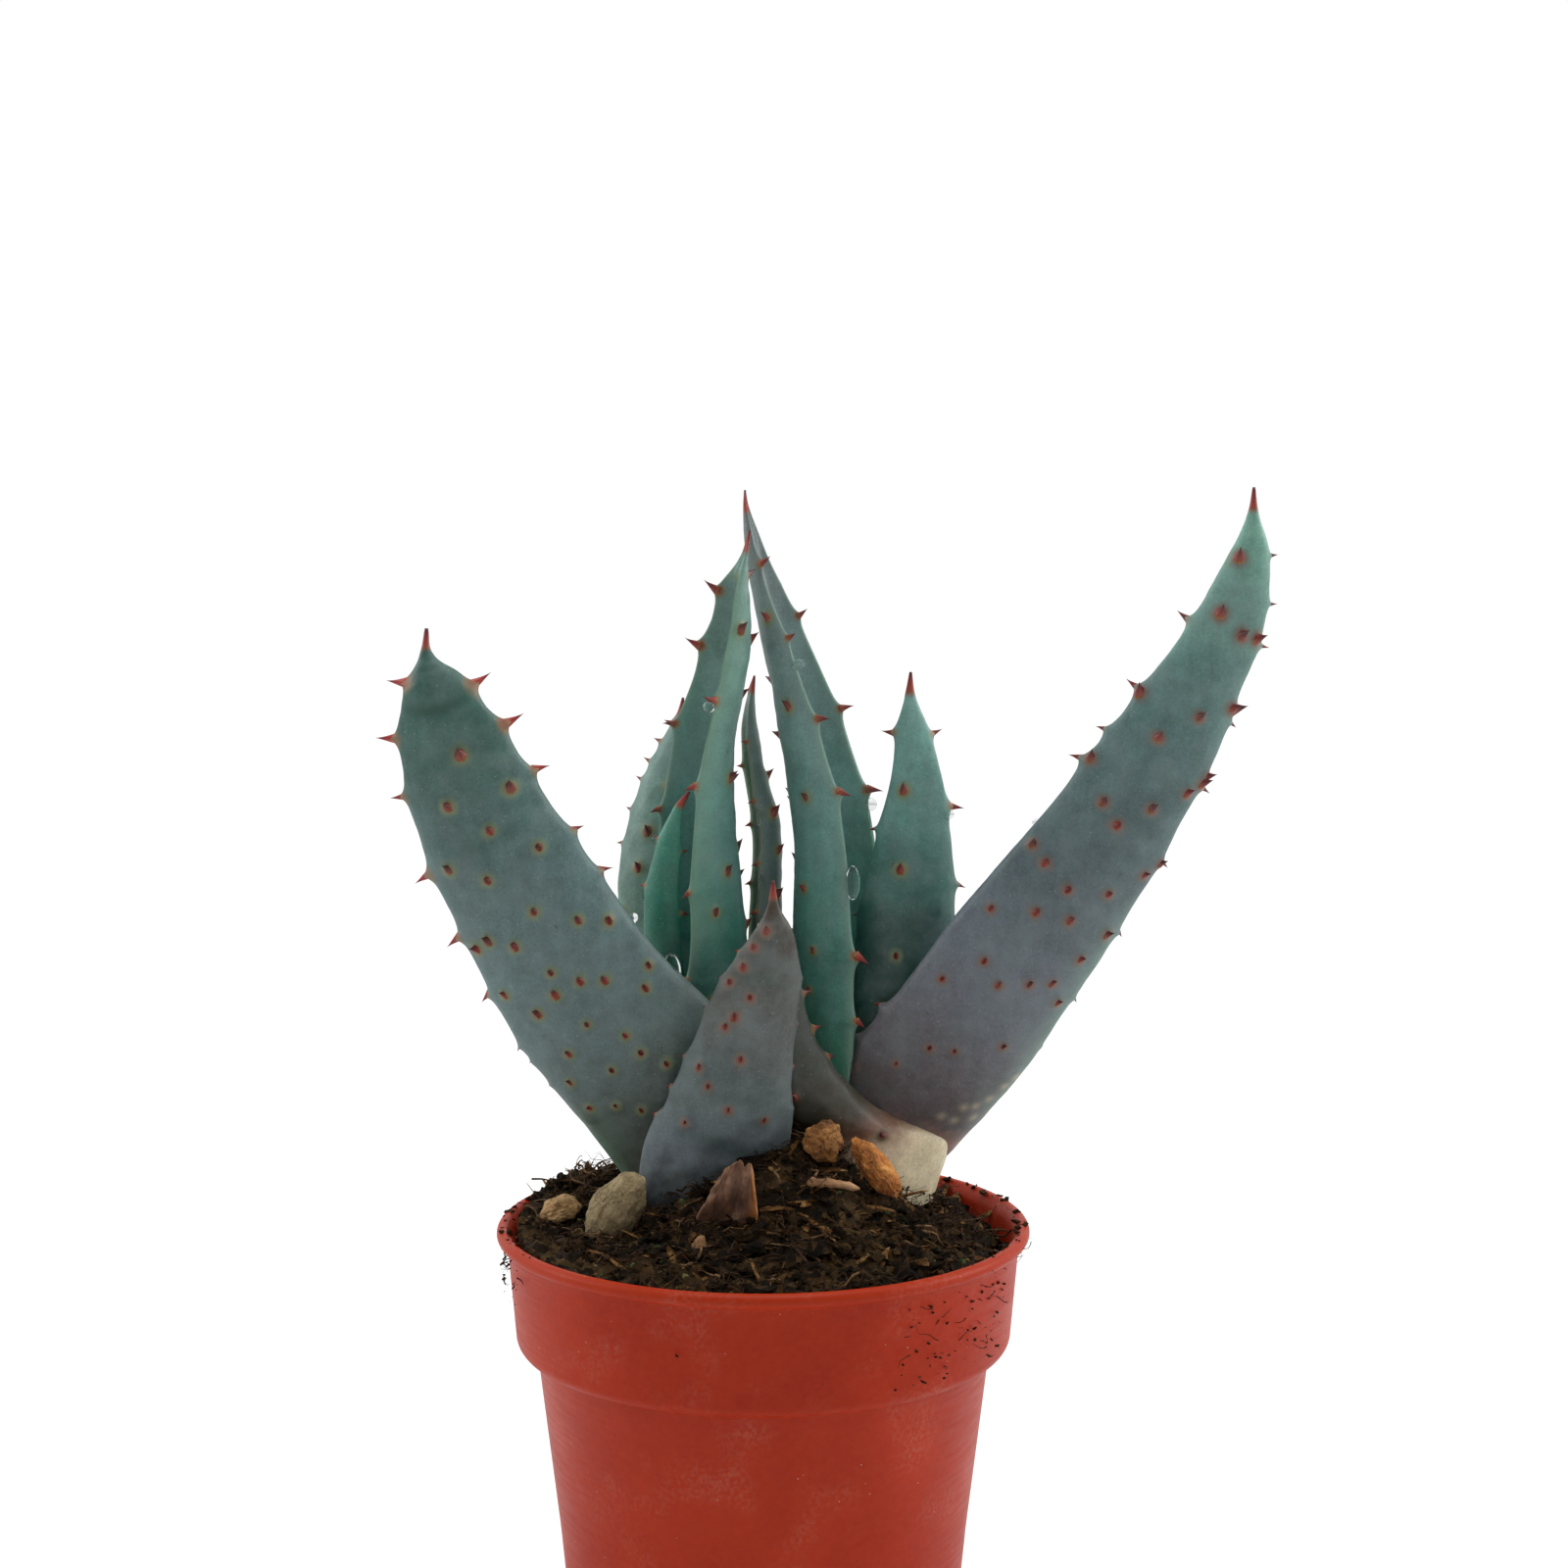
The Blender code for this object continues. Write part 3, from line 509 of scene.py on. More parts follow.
# %% The ten leaves
LEFT = (-12.0, 10.0)
RIGHT = (18.0, 14.0)
# Some leaves also list creases, each darkened with painted shade, and a side lightened with painted light (from, to,
# side, strength).
LEAVES = {
    "young_left": dict(
        crown=LEFT, thick=(3.0, 1.2), faces=(75, 75),
        rows=((-1.0, -0.5, 6, 6.4, 2.0), (-2.0, -1.5, 22, 6.6, 2.0), (-3.8, -1.5, 39, 6.2, 2.0),
              (-4.5, -1.5, 49, 6.2, 1.8), (-3.5, -1.5, 58, 4.5, 1.4), (-1.8, -1.5, 65, 1.6, 0.7),
              (0.0, -1.5, 68, 0.4, 0.2)),
        left=((54.1, 1.3), (46.4, 1.5), (30.0, 1.0)), right=((53.0, 1.0), (42.3, 1.4), (28.0, 1.0)),
        backs=()),
    "right_short": dict(
        crown=RIGHT, thick=(5.0, 1.8), faces=(88, 92),
        rows=((0.5, 0.0, 4, 11, 4.0), (2.2, -1.5, 20, 15.4, 4.5), (4.8, -3.5, 36, 16.6, 4.0),
              (5.4, -4.0, 48, 15.6, 3.6), (6.4, -4.0, 59, 12.8, 3.0), (6.8, -4.0, 70, 9.2, 2.4),
              (6.0, -4.0, 78.5, 5.0, 1.5), (5.7, -4.0, 83.5, 1.5, 0.8), (5.8, -4.0, 87.3, 0.4, 0.2)),
        left=((74.5, 2.2), (58.0, 1.2), (44.0, 1.0)), right=((73.5, 2.0), (62.3, 2.4), (50.0, 1.8), (36.0, 1.4)),
        creases=((30.0, 5.0, 0.6),),
        backs=((64.9, 0.38), (52.0, 0.26), (38.0, 0.2), (24.0, 0.4), (27.0, -0.45))),
    "centre_right": dict(
        crown=RIGHT, thick=(4.2, 1.8), faces=(338, 335),
        rows=((-3.0, 0.0, 3, 12, 6.0), (-2.0, -1.8, 17, 14, 9.5), (-0.5, -3.4, 31, 13.5, 13.0),
              (-0.7, -3.6, 46, 13.3, 13.0), (-1.8, -3.4, 60, 12.6, 12.4), (-4.5, -3.0, 72, 11.0, 10.8),
              (-8.5, -2.4, 83.5, 9.6, 8.5), (-12.8, -1.8, 94, 7.2, 6.0), (-17.3, -1.0, 104, 3.8, 3.4),
              (-19.4, -0.6, 110, 2.2, 2.0), (-20.6, -0.4, 114, 0.9, 0.8), (-21.0, -0.4, 116.7, 0.4, 0.2)),
        left=((95.4, 1.6), (78.7, 2.0), (64.6, 2.4), (50.0, 1.6), (35.7, 1.6), (22.0, 1.2)),
        right=((105.5, 2.2), (92.4, 1.4), (78.3, 2.2), (65.6, 2.4), (38.7, 2.6), (28.5, 1.8)),
        backs=((87.2, 0.0), (78.0, 0.02), (67.5, 0.0), (66.0, 0.1), (97.1, -0.9), (82.3, -0.85), (66.6, -0.84),
               (40.0, -0.80), (50.1, -0.66), (32.9, -0.7), (18.0, -0.2), (22.0, -0.75), (55.0, 0.0),
               (42.0, 0.05), (74.0, 0.6), (58.0, 0.65), (44.0, 0.6), (88.0, 0.6))),
    "centre_left": dict(
        crown=LEFT, thick=(4.2, 1.8), faces=(205, 214),
        rows=((3.0, -0.4, 3, 12, 6.0), (-1.0, -0.8, 14, 14, 11.0), (-4.0, -0.8, 29, 13.6, 15.0),
              (-3.2, -0.6, 44, 13.4, 13.2), (-3.0, -0.6, 56, 12.3, 12.4), (-2.0, -1.0, 66.5, 11.2, 10.2),
              (-0.3, -1.6, 77, 10.0, 8.8), (2.5, -2.3, 86, 9.0, 7.0), (4.7, -3.0, 94.5, 7.4, 5.8),
              (6.4, -3.5, 101, 4.6, 4.0), (8.6, -3.8, 105.5, 1.2, 1.0), (9.8, -3.8, 110, 0.4, 0.2)),
        painted_side_light=((38.0, 110.0, 1, 0.6),),
        left=((82.4, 2.6), (67.7, 2.2), (50.0, 1.4), (36.0, 1.2), (24.0, 1.0)),
        right=((99.1, 2.8), (89.9, 2.6), (76.0, 1.8), (62.0, 1.5), (47.0, 1.2), (34.0, 1.0)),
        backs=((103.0, -0.1), (92.3, 0.0), (83.5, 0.0), (68.8, 0.05), (57.2, 0.05), (52.1, 0.0), (94.5, 0.93),
               (69.6, 0.66), (53.5, 0.79), (46.9, 0.92), (33.0, 0.95), (44.0, 0.3), (36.0, 0.1),
               (75.0, -0.6), (60.0, -0.6), (48.0, -0.55), (88.0, -0.6))),
    "inner_young": dict(
        crown=LEFT, thick=(2.4, 1.2), faces=(192, 192),
        rows=((5.5, 5.0, 4, 6.0, 3.0), (8.0, 6.5, 20, 6.2, 4.0), (9.5, 7.0, 36, 5.6, 5.0),
              (10.2, 7.2, 52, 5.2, 5.2), (10.3, 7.2, 61, 5.2, 4.6), (9.0, 7.2, 70, 5.0, 3.6),
              (8.6, 7.2, 77, 4.2, 2.6), (9.2, 7.2, 82, 2.4, 1.4), (10.4, 7.2, 86.5, 0.4, 0.2)),
        wrinkle=2.2, left=((72.0, 0.8), (62.0, 0.9), (52.0, 1.0), (44.0, 0.9), (36.0, 0.9), (28.0, 0.8)),
        right=((68.0, 0.8), (58.0, 0.8), (48.0, 0.8)),
        backs=((60.0, 0.6), (54.0, 0.5), (47.0, 0.6), (38.0, 0.5), (66.0, 0.1))),
    "far_left": dict(
        crown=LEFT, thick=(4.0, 1.6), faces=(75, 70),
        rows=((-1.0, 7.0, 3, 11, 4.0), (-2.0, 10.0, 20, 12, 3.4), (-4.5, 12.0, 38, 12, 3.0),
              (-7.0, 13.0, 49.5, 12, 3.0), (-6.3, 13.8, 58.5, 11.2, 3.0), (-3.8, 14.6, 69, 9.0, 2.4),
              (-2.2, 15.2, 76.5, 4.8, 1.4), (-2.0, 15.8, 80, 1.2, 0.6), (-1.7, 16.0, 82.5, 0.4, 0.2)),
        left=((77.0, 1.7), (72.9, 1.7), (69.4, 1.7), (66.0, 1.7), (60.6, 1.4), (55.0, 1.4), (45.0, 1.8), (34.0, 1.2)),
        right=((71.0, 1.4), (64.0, 1.4), (56.0, 1.3), (46.0, 1.3), (35.0, 1.2)),
        backs=((57.8, 0.07), (51.9, 0.2), (45.4, 0.66), (66.0, -0.2), (38.0, -0.1))),
    "right_large": dict(
        crown=RIGHT, thick=(6.5, 3.0), faces=(98, 92),
        rows=((0.5, -1.0, -5, 10, 4.5), (1.4, -2.0, 5, 13.5, 5.2), (3.8, -3.4, 13, 20, 5.8),
              (7.2, -5.4, 20.5, 23.8, 6.2), (13.8, -9.0, 30, 24.2, 6.0), (22.5, -12.6, 43, 23.8, 5.6),
              (32.0, -15.8, 57, 21.2, 5.0), (41.5, -18.5, 72, 18.0, 4.4), (48.2, -20.0, 84, 14.4, 3.8),
              (54.2, -21.2, 96, 10.4, 3.0), (56.8, -22.0, 106, 5.8, 2.0), (57.2, -22.0, 112.3, 1.4, 0.8),
              (57.3, -22.0, 116.1, 0.4, 0.2)),
        freckles=((29.5, -0.54), (27.8, -0.79), (25.7, -0.54), (33.0, -0.79), (25.9, -0.34), (36.0, -0.85),
                  (31.0, -0.68), (38.0, -0.9)), painted_side_light=((24.0, 76.0, -1, 1.0),),
        left=((114.9, 2.2), (101.7, 2.2), (93.4, 1.6), (87.3, 2.2), (34.8, 1.9), (28.7, 2.2)),
        right=((128.2, 1.4), (121.5, 1.6), (115.6, 1.8), (103.6, 1.6), (92.8, 1.8), (79.8, 1.8),
               (66.8, 1.3), (53.8, 1.0), (44.0, 0.7)),
        backs=((127.1, 0.5), (117.9, 0.4), (116.0, -0.32), (116.4, -0.74), (105.9, -0.84), (102.2, -0.26),
               (101.3, 0.9), (96.7, 0.2), (88.4, 0.9), (91.2, -0.71), (83.8, 0.38), (86.6, -0.32), (82.0, 0.0),
               (94.9, -0.93), (71.8, 0.79), (70.9, 0.5), (77.4, -0.78), (69.1, 0.07), (71.8, -0.44),
               (59.9, 0.66), (63.5, 0.2), (65.4, -0.2), (66.3, -0.79), (52.5, 0.38), (60.8, -0.61),
               (46.1, 0.61), (50.7, 0.07), (53.4, -0.26), (55.3, -0.5), (52.4, -0.76), (42.4, -0.44),
               (37.8, 0.0), (35.9, 0.26), (30.4, 0.44), (105.8, -0.95), (93.6, -0.9), (80.0, -0.92))),
    "left_large": dict(
        crown=LEFT, thick=(6.5, 3.0), faces=(84, 92),
        rows=((4.0, -3.0, -5, 15, 6.0), (1.5, -4.5, 9, 24, 7.0), (-5.0, -7.5, 22.5, 27.6, 7.0),
              (-15.0, -10.8, 35, 26.6, 6.0), (-20.8, -13.6, 44.5, 25.0, 5.6), (-25.6, -16.2, 54, 23.6, 5.2),
              (-30.8, -18.8, 64.5, 21.4, 4.8), (-34.4, -21.0, 74, 18.2, 4.2), (-36.8, -22.6, 81.5, 14.0, 3.6),
              (-38.0, -23.5, 86.5, 8.6, 2.8), (-38.9, -24.0, 90.6, 1.8, 1.0), (-38.8, -24.0, 94.6, 0.4, 0.2)),
        flush=0.42, ruddy=0.25, creases=((104.0, -3.6, 1.0), (89.0, 4.0, 0.35), (83.0, -4.0, 0.30)),
        painted_side_light=((6.0, 36.0, 1, 1.5),),
        left=((105.0, 3.4), (97.4, 3.2), (88.8, 2.6), (77.0, 3.2), (65.5, 2.8), (55.5, 2.0), (46.9, 1.3),
              (44.4, 0.8), (40.2, 0.8)),
        right=((102.2, 3.6), (94.5, 3.4), (85.6, 2.4), (72.9, 1.8), (65.5, 2.0)),
        backs=((92.8, -0.13), (85.3, -0.56), (86.1, 0.32), (80.1, -0.07), (74.1, -0.5), (77.1, 0.66),
               (73.3, 0.26), (65.8, -0.07), (61.4, -0.44), (58.4, -0.75), (63.6, 0.79), (64.4, 0.61),
               (62.1, 0.32), (55.4, 0.75), (56.1, 0.13), (52.4, 0.2), (52.4, -0.13), (50.1, -0.32),
               (47.1, -0.79), (44.1, -0.61), (50.9, 0.5), (45.6, 0.13), (40.4, -0.13), (43.4, 0.5),
               (36.7, -0.13), (37.4, 0.26), (32.9, -0.26), (39.7, 0.71), (33.7, 0.71), (31.4, 0.44),
               (28.4, 0.26))),
    "front_right": dict(
        crown=RIGHT, thick=(2.6, 1.4), faces=(107, 107, 96, 92, 90), level=True,
        rows=((-1.5, -3.0, -6, 18.5, 7.5), (-1.0, -4.5, 2, 23, 8.5), (-0.6, -5.4, 8, 26, 8.5),
              (-0.6, -6.0, 11.6, 28, 8.0), (-7.2, -10.8, 16, 19.6, 6.2), (-9.8, -13.0, 19, 16.3, 5.0),
              (-12.2, -14.8, 23, 13.5, 4.2), (-13.8, -15.6, 27, 11.3, 3.6), (-15.0, -16.2, 31, 9.7, 3.2),
              (-15.7, -16.8, 37, 7.5, 2.6), (-16.2, -17.0, 42, 4.4, 1.8), (-16.2, -17.0, 46, 0.6, 0.4)),
        left=((46.0, 0.8),), right=((51.3, 2.2), (45.5, 2.0), (40.7, 1.8)), slant=0.10, ruddy=-0.05,
        backs=((21.7, -0.2), (34.0, 0.3))),
    "front_small": dict(
        crown=LEFT, thick=(4.0, 2.2), faces=(92, 96),
        rows=((3.2, -12.0, -5, 18, 6.0), (3.6, -13.6, 3, 22, 6.0), (4.2, -14.6, 11, 22.4, 5.4),
              (6.2, -15.8, 17, 20.8, 4.8), (8.0, -16.6, 25, 17.4, 4.2), (10.5, -17.4, 34.5, 14.0, 3.6),
              (12.5, -17.8, 41.5, 10.8, 3.0), (13.6, -18.0, 47, 6.6, 2.2), (13.6, -18.0, 51.5, 1.8, 0.9),
              (13.6, -18.0, 55.5, 0.4, 0.2)),
        prickle=0.75, wrinkle=2.6, creases=((34.0, -6.0, 0.30), (16.0, 5.0, 0.35), (44.0, 3.0, 0.30)),
        left=((50.0, 0.6), (45.0, 0.7), (40.0, 0.7), (31.8, 0.9), (26.6, 0.9), (20.0, 0.7)),
        right=((48.0, 0.5), (41.0, 0.6), (34.0, 0.5), (27.0, 0.5)),
        backs=((54.7, 0.38), (51.4, 0.61), (48.1, 0.61), (45.2, 0.75), (43.9, 0.2), (40.6, 0.38), (38.6, 0.5),
               (31.1, 0.66), (29.0, 0.44), (26.5, 0.07), (25.7, -0.5), (22.0, 0.56), (34.4, 0.07))),
}
print(len(LEAVES), "leaves,", sum(len(leaf["left"]) + len(leaf["right"]) for leaf in LEAVES.values()), "teeth")

# %% [markdown]
# A leaf has no corners along its length, so between two rows every number follows a smooth
# cubic curve. At each place the leaf then gets its own frame: a middle, a side direction, and
# an outward direction that the hollow of the trough looks away from.

# %% Read the rows on a smooth curve
def read_rows(rows, spans, place):
    """All columns of the rows at a place along the leaf, in mm from its base."""
    index = min(int(np.searchsorted(spans, place, side="right")) - 1, len(spans) - 2)
    start, end = rows[index], rows[index + 1]
    before, after = rows[max(index - 1, 0)], rows[min(index + 2, len(rows) - 1)]
    length = spans[index + 1] - spans[index]
    back = length + (spans[index] - spans[index - 1] if index else 0.0)
    ahead = length + (spans[index + 2] - spans[index + 1] if index + 2 < len(rows) else 0.0)
    t = (place - spans[index]) / length
    return ((2 * t ** 3 - 3 * t ** 2 + 1) * start + (t ** 3 - 2 * t ** 2 + t) * (end - before) / back * length
            + (3 * t ** 2 - 2 * t ** 3) * end + (t ** 3 - t ** 2) * (after - start) / ahead * length)


def leaf_frames(leaf, places):
    """For each place along the leaf: its middle, side and outward directions and its sizes."""
    rows = np.array(leaf["rows"], dtype=float)
    spans = np.concatenate([[0.0], np.cumsum(np.linalg.norm(np.diff(rows[:, :3], axis=0), axis=1))])
    total = spans[-1]
    found = dict(middle=[], side=[], out=[], tangent=[], width=[], bulge=[], thick=[])
    for place in places:
        row = read_rows(rows, spans, place)
        ahead = read_rows(rows, spans, min(place + total * 0.004, total))[:3]
        behind = read_rows(rows, spans, max(place - total * 0.004, 0.0))[:3]
        tangent = (ahead - behind) / np.linalg.norm(ahead - behind)
        share = place / total
        heading = math.radians(np.interp(share, np.linspace(0, 1, len(leaf["faces"])), leaf["faces"]))
        hollow = np.array([math.cos(heading), math.sin(heading), 0.0])
        upright = np.array([0.0, 0.0, 1.0]) if leaf.get("level") else tangent
        side = np.cross(upright, hollow)
        side /= np.linalg.norm(side)
        width = max(row[3], 0.4)
        found["middle"].append(row[:3] + np.array([*leaf["crown"], LIP / MM]))
        found["side"].append(side)
        found["out"].append(-np.cross(side, upright))
        found["tangent"].append(tangent)
        found["width"].append(width)
        found["bulge"].append(max(row[4], 0.2))
        found["thick"].append(min(np.interp(share, (0, 1), leaf["thick"]), width * 0.8))
    return {key: np.array(value) for key, value in found.items()}, total


first, total = leaf_frames(LEAVES["left_large"], [0.0, 50.0])
print("the left outer leaf is", round(total, 1), "mm long and", round(first["width"][1], 1), "mm wide half way")

# %% [markdown]
# The margins between two teeth are scalloped: the flesh draws out into a small peak under
# each tooth. The skin itself is never flat either. It swells gently, dips along faint lines
# where the leaf was pressed in the bud, and rises into a small mound under every prickle.
# All of this is real shape here, and only the finest grain is left to the material.

# %% Build the skin of a leaf
def peaks(places, teeth):
    """How far the margin stands out at each place, in mm: a pointed rise at every tooth, and
    a shallow hollow between two."""
    teeth = sorted(teeth)
    if not teeth:
        return np.zeros(len(places))
    at, size = np.array(teeth).T
    hollow = -0.30 * np.interp(places, at, size)
    hollow *= np.clip((places - at[0] + 5.0) / 5.0, 0.0, 1.0) * np.clip((at[-1] + 6.0 - places) / 6.0, 0.0, 1.0)
    gaps = np.abs(places[:, None] - at[None, :])
    rise = size * (0.34 * np.exp(-gaps / (0.9 + 0.55 * size)) + 0.40 * np.exp(-gaps / (0.35 + 0.16 * size)))
    return hollow + rise.max(axis=1)


def section(angles, frames, back):
    """Points of the crescent sections as (across, out) arrays, rings by angles."""
    half = frames["width"][:, None] / 2
    depth = np.maximum(frames["bulge"] - frames["thick"] / 2, 0.15 * frames["bulge"])[:, None]
    power = 2.0 - np.minimum(1.0, depth / half)

    def middle(turn):
        return half * np.cos(turn), depth * np.abs(np.sin(turn)) ** power

    across, out = middle(angles[None, :])
    ahead, behind = middle(angles[None, :] + 0.01), middle(angles[None, :] - 0.01)
    run = np.stack([ahead[0] - behind[0], ahead[1] - behind[1]])
    run /= np.maximum(np.linalg.norm(run, axis=0), 1e-9)
    square = np.stack([run[1], -run[0]])
    square *= np.where(square[1] < 0, -1.0, 1.0)
    flesh = frames["thick"][:, None] / 2 * np.sin(np.clip(angles, 0, math.pi))[None, :] ** 0.7
    if back:
        return across + square[0] * flesh, out + square[1] * flesh
    flesh = np.minimum(flesh, 0.6 * half)
    return across - square[0] * flesh, out - square[1] * flesh


def skin_points(leaf, places, angles, back):
    """Places on one face of the leaf, in mm, before any swelling."""
    frames, total = leaf_frames(leaf, places)
    across, out = section(angles, frames, back)
    edge = np.array([0.0, 0.6])
    edge_across, edge_out = section(edge, dict(frames, thick=np.zeros(len(places))), back)
    lean = np.stack([edge_across[:, 0] - edge_across[:, 1], edge_out[:, 0] - edge_out[:, 1]])
    lean[1] *= np.minimum(1.0, np.maximum(frames["bulge"] - frames["thick"] / 2, 0.0) * 2 / frames["width"])
    lean /= np.linalg.norm(lean, axis=0)
    left = peaks(places, leaf["left"])[:, None] * np.exp(-(angles / 0.38) ** 2)[None, :]
    right = peaks(places, leaf["right"])[:, None] * np.exp(-((math.pi - angles) / 0.38) ** 2)[None, :]
    across = across + lean[0][:, None] * (left - right)
    out = out + lean[1][:, None] * (left + right)
    return (frames["middle"][:, None, :] + frames["side"][:, None, :] * across[:, :, None]
            + frames["out"][:, None, :] * out[:, :, None]), frames, lean


def swell(points, normals, amount):
    """Gentle unevenness along the normals: slow swells, then small dimples, in mm."""
    flat = points.reshape(-1, 3)
    rise = np.array([noise.noise(Vector(p) * 0.085) * 0.5 + noise.noise(Vector(p) * 0.33) * 0.12
                     + noise.noise(Vector(p) * 0.9) * 0.035 for p in flat])
    return points + normals * (rise.reshape(points.shape[:2]) * amount)[:, :, None]


def build_leaf(leaf):
    """The leaf's closed grid of points, with its normals and the data its paint needs."""
    frames, total = leaf_frames(leaf, [0.0])
    rings = int(total / 0.38)
    half_sides = int(max(row[3] + row[4] for row in leaf["rows"]) / 0.5)
    places = np.linspace(0.0, total, rings + 1)
    angles = np.linspace(0.0, math.pi, half_sides + 1)
    back, frames, lean = skin_points(leaf, places, angles, True)
    front = skin_points(leaf, places, angles, False)[0]
    grid = np.concatenate([back, front[:, -2:0:-1]], axis=1)
    turn = np.concatenate([angles, angles[-2:0:-1]])
    before, after = np.roll(grid, 1, axis=1), np.roll(grid, -1, axis=1)
    normals = np.cross(after - before, np.gradient(grid, axis=0))
    normals /= np.maximum(np.linalg.norm(normals, axis=2, keepdims=True), 1e-9)
    centre = frames["middle"] + frames["out"] * (frames["bulge"] * 0.5)[:, None]
    if np.sum((grid - centre[:, None, :]) * normals) < 0:
        normals = -normals
    soft = leaf.get("wrinkle", 1.3) * np.minimum(1.0, frames["width"] / 8.0)[:, None]
    soft = soft * np.abs(np.sin(turn))[None, :] ** 0.5
    grid = swell(grid, normals, soft)
    return dict(grid=grid, normals=normals, places=places, turn=turn, half=half_sides, total=total,
                frames=frames, lean=lean)


young = build_leaf(LEAVES["young_left"])
print("a young leaf has", young["grid"].shape[0], "rings of", young["grid"].shape[1], "points")

# %% [markdown]
# Teeth stand on the margins and prickles on the back. Each is described by where it stands,
# which way it aims, which way it is widest, and how big it is. The growing itself is left to
# a Geometry Nodes tree, which puts one curved cone on every such point.

# %% Place teeth and prickles on a leaf
rng = np.random.default_rng(7)


def spot(shape, place, across):
    """The grid point of the back nearest to a place, from the left edge 1 to the right -1."""
    ring = int(round(place / shape["total"] * (len(shape["places"]) - 1)))
    return ring, int(round(math.acos(across) / math.pi * shape["half"]))


def thorns_of(leaf, shape):
    """Rows of (point, aim, wide, size, tint, tooth length) for the thorns of one leaf."""
    thorns = []
    for key, column, sign in (("left", 0, 1.0), ("right", shape["half"], -1.0)):
        for place, size in leaf[key]:
            ring = int(round(place / shape["total"] * (len(shape["places"]) - 1)))
            point = shape["grid"][ring, column]
            frames, lean = shape["frames"], shape["lean"]
            edge = (frames["side"][ring] * lean[0][ring] * sign + frames["out"][ring] * lean[1][ring])
            along = float(np.interp(place / shape["total"], (0.45, 0.93), (-0.40, 0.22))) + rng.uniform(-0.1, 0.1)
            tangent = frames["tangent"][ring] * (1.0 if along > 0 else -1.0)
            aim = edge + frames["tangent"][ring] * along + frames["out"][ring] * rng.uniform(0.0, 0.2)
            aim /= np.linalg.norm(aim)
            base = 0.25 * size + 0.22
            tint = rng.uniform(0.0, 0.3) + leaf.get("ruddy", 0.10) * size
            thorns.append((point - aim * 0.42 * size, aim, tangent, (base, base * 0.7, size * 1.05 + 0.3), tint,
                           size))
    for place, across in leaf["backs"]:
        ring, column = spot(shape, place, across)
        normal, tangent = shape["normals"][ring, column], shape["frames"]["tangent"][ring]
        grown = float(np.interp(place / shape["total"], (0.2, 0.45, 0.8), (0.55, 0.95, 1.2)))
        size = rng.uniform(0.85, 1.15) * leaf.get("prickle", 1.0) * grown
        aim = normal + tangent * rng.uniform(0.25, 0.8)
        aim /= np.linalg.norm(aim)
        thorns.append((shape["grid"][ring, column] - aim * 0.25, aim, tangent,
                       (0.90 * size, 0.80 * size, 1.9 * size), rng.uniform(0.0, 0.35), 0.0))
    return thorns


young_thorns = thorns_of(LEAVES["young_left"], young)
print(len(young_thorns), "teeth and prickles on the young leaf")

# %% [markdown]
# Everything that repeats on this plant is grown by a Geometry Nodes tree. The sizes that
# change are named inputs, and a tree always ends in the same way: its copies are made real,
# smoothed and painted. Running one leaves a plain mesh with no modifier on it.

# %% Helpers for Geometry Nodes
def new_tree(name, inputs):
    tree = bpy.data.node_groups.new(name, "GeometryNodeTree")
    tree.interface.new_socket("Geometry", in_out="INPUT", socket_type="NodeSocketGeometry")
    for label, kind, value in inputs:
        socket = tree.interface.new_socket(label, in_out="INPUT", socket_type=kind)
        if value is not None:
            socket.default_value = value
    tree.interface.new_socket("Geometry", in_out="OUTPUT", socket_type="NodeSocketGeometry")
    return tree, tree.nodes.new("NodeGroupInput"), tree.nodes.new("NodeGroupOutput")


def wire(tree, node, **sources):
    """Sets a node's inputs by name, from sockets or plain values."""
    for label, value in sources.items():
        socket = node.inputs[label.replace("_", " ")]
        if isinstance(value, bpy.types.NodeSocket):
            tree.links.new(value, socket)
        else:
            socket.default_value = value
    return node


def named(tree, kind, label):
    node = add_node(tree.nodes, "GeometryNodeInputNamedAttribute", data_type=kind)
    node.inputs["Name"].default_value = label
    return node.outputs["Attribute"]


def math_node(tree, operation, first, second=0.0):
    return sum_up(tree.nodes, tree.links, operation, first, second)


def end_tree(tree, ends_in, ends_out, geometry, smooth=True):
    """Realizes the copies, smooths and paints them, and links them to the tree's end."""
    last = wire(tree, add_node(tree.nodes, "GeometryNodeRealizeInstances"), Geometry=geometry)
    if smooth:
        last = wire(tree, add_node(tree.nodes, "GeometryNodeSetShadeSmooth"), Geometry=last.outputs[0])
    last = wire(tree, add_node(tree.nodes, "GeometryNodeSetMaterial"), Geometry=last.outputs[0],
                Material=ends_in.outputs["Paint"])
    tree.links.new(last.outputs[0], ends_out.inputs[0])


def run_tree(name, mesh, tree, values):
    """Runs a tree on a mesh and returns a new object that holds the plain result."""
    seed = put(name, mesh)
    grow = seed.modifiers.new("grow", "NODES")
    grow.node_group = tree
    for socket in tree.interface.items_tree:
        if socket.item_type == "SOCKET" and socket.name in values:
            grow[socket.identifier] = values[socket.name]
    graph = bpy.context.evaluated_depsgraph_get()
    result = bpy.data.meshes.new_from_object(seed.evaluated_get(graph), preserve_all_data_layers=True,
                                             depsgraph=graph)
    bpy.data.objects.remove(seed, do_unlink=True)
    result.name = name
    return put(name, result)


def seed_mesh(name, points, **columns):
    """A mesh of loose points, in metres, with a named attribute for each column."""
    mesh = bpy.data.meshes.new(name)
    mesh.from_pydata([tuple(point) for point in points], [], [])
    for label, values in columns.items():
        values = np.array(values, dtype=float)
        vector = values.ndim == 2
        layer = mesh.attributes.new(label, "FLOAT_VECTOR" if vector else "FLOAT", "POINT")
        layer.data.foreach_set("vector" if vector else "value", values.ravel())
    return mesh


print("geometry helpers ready")

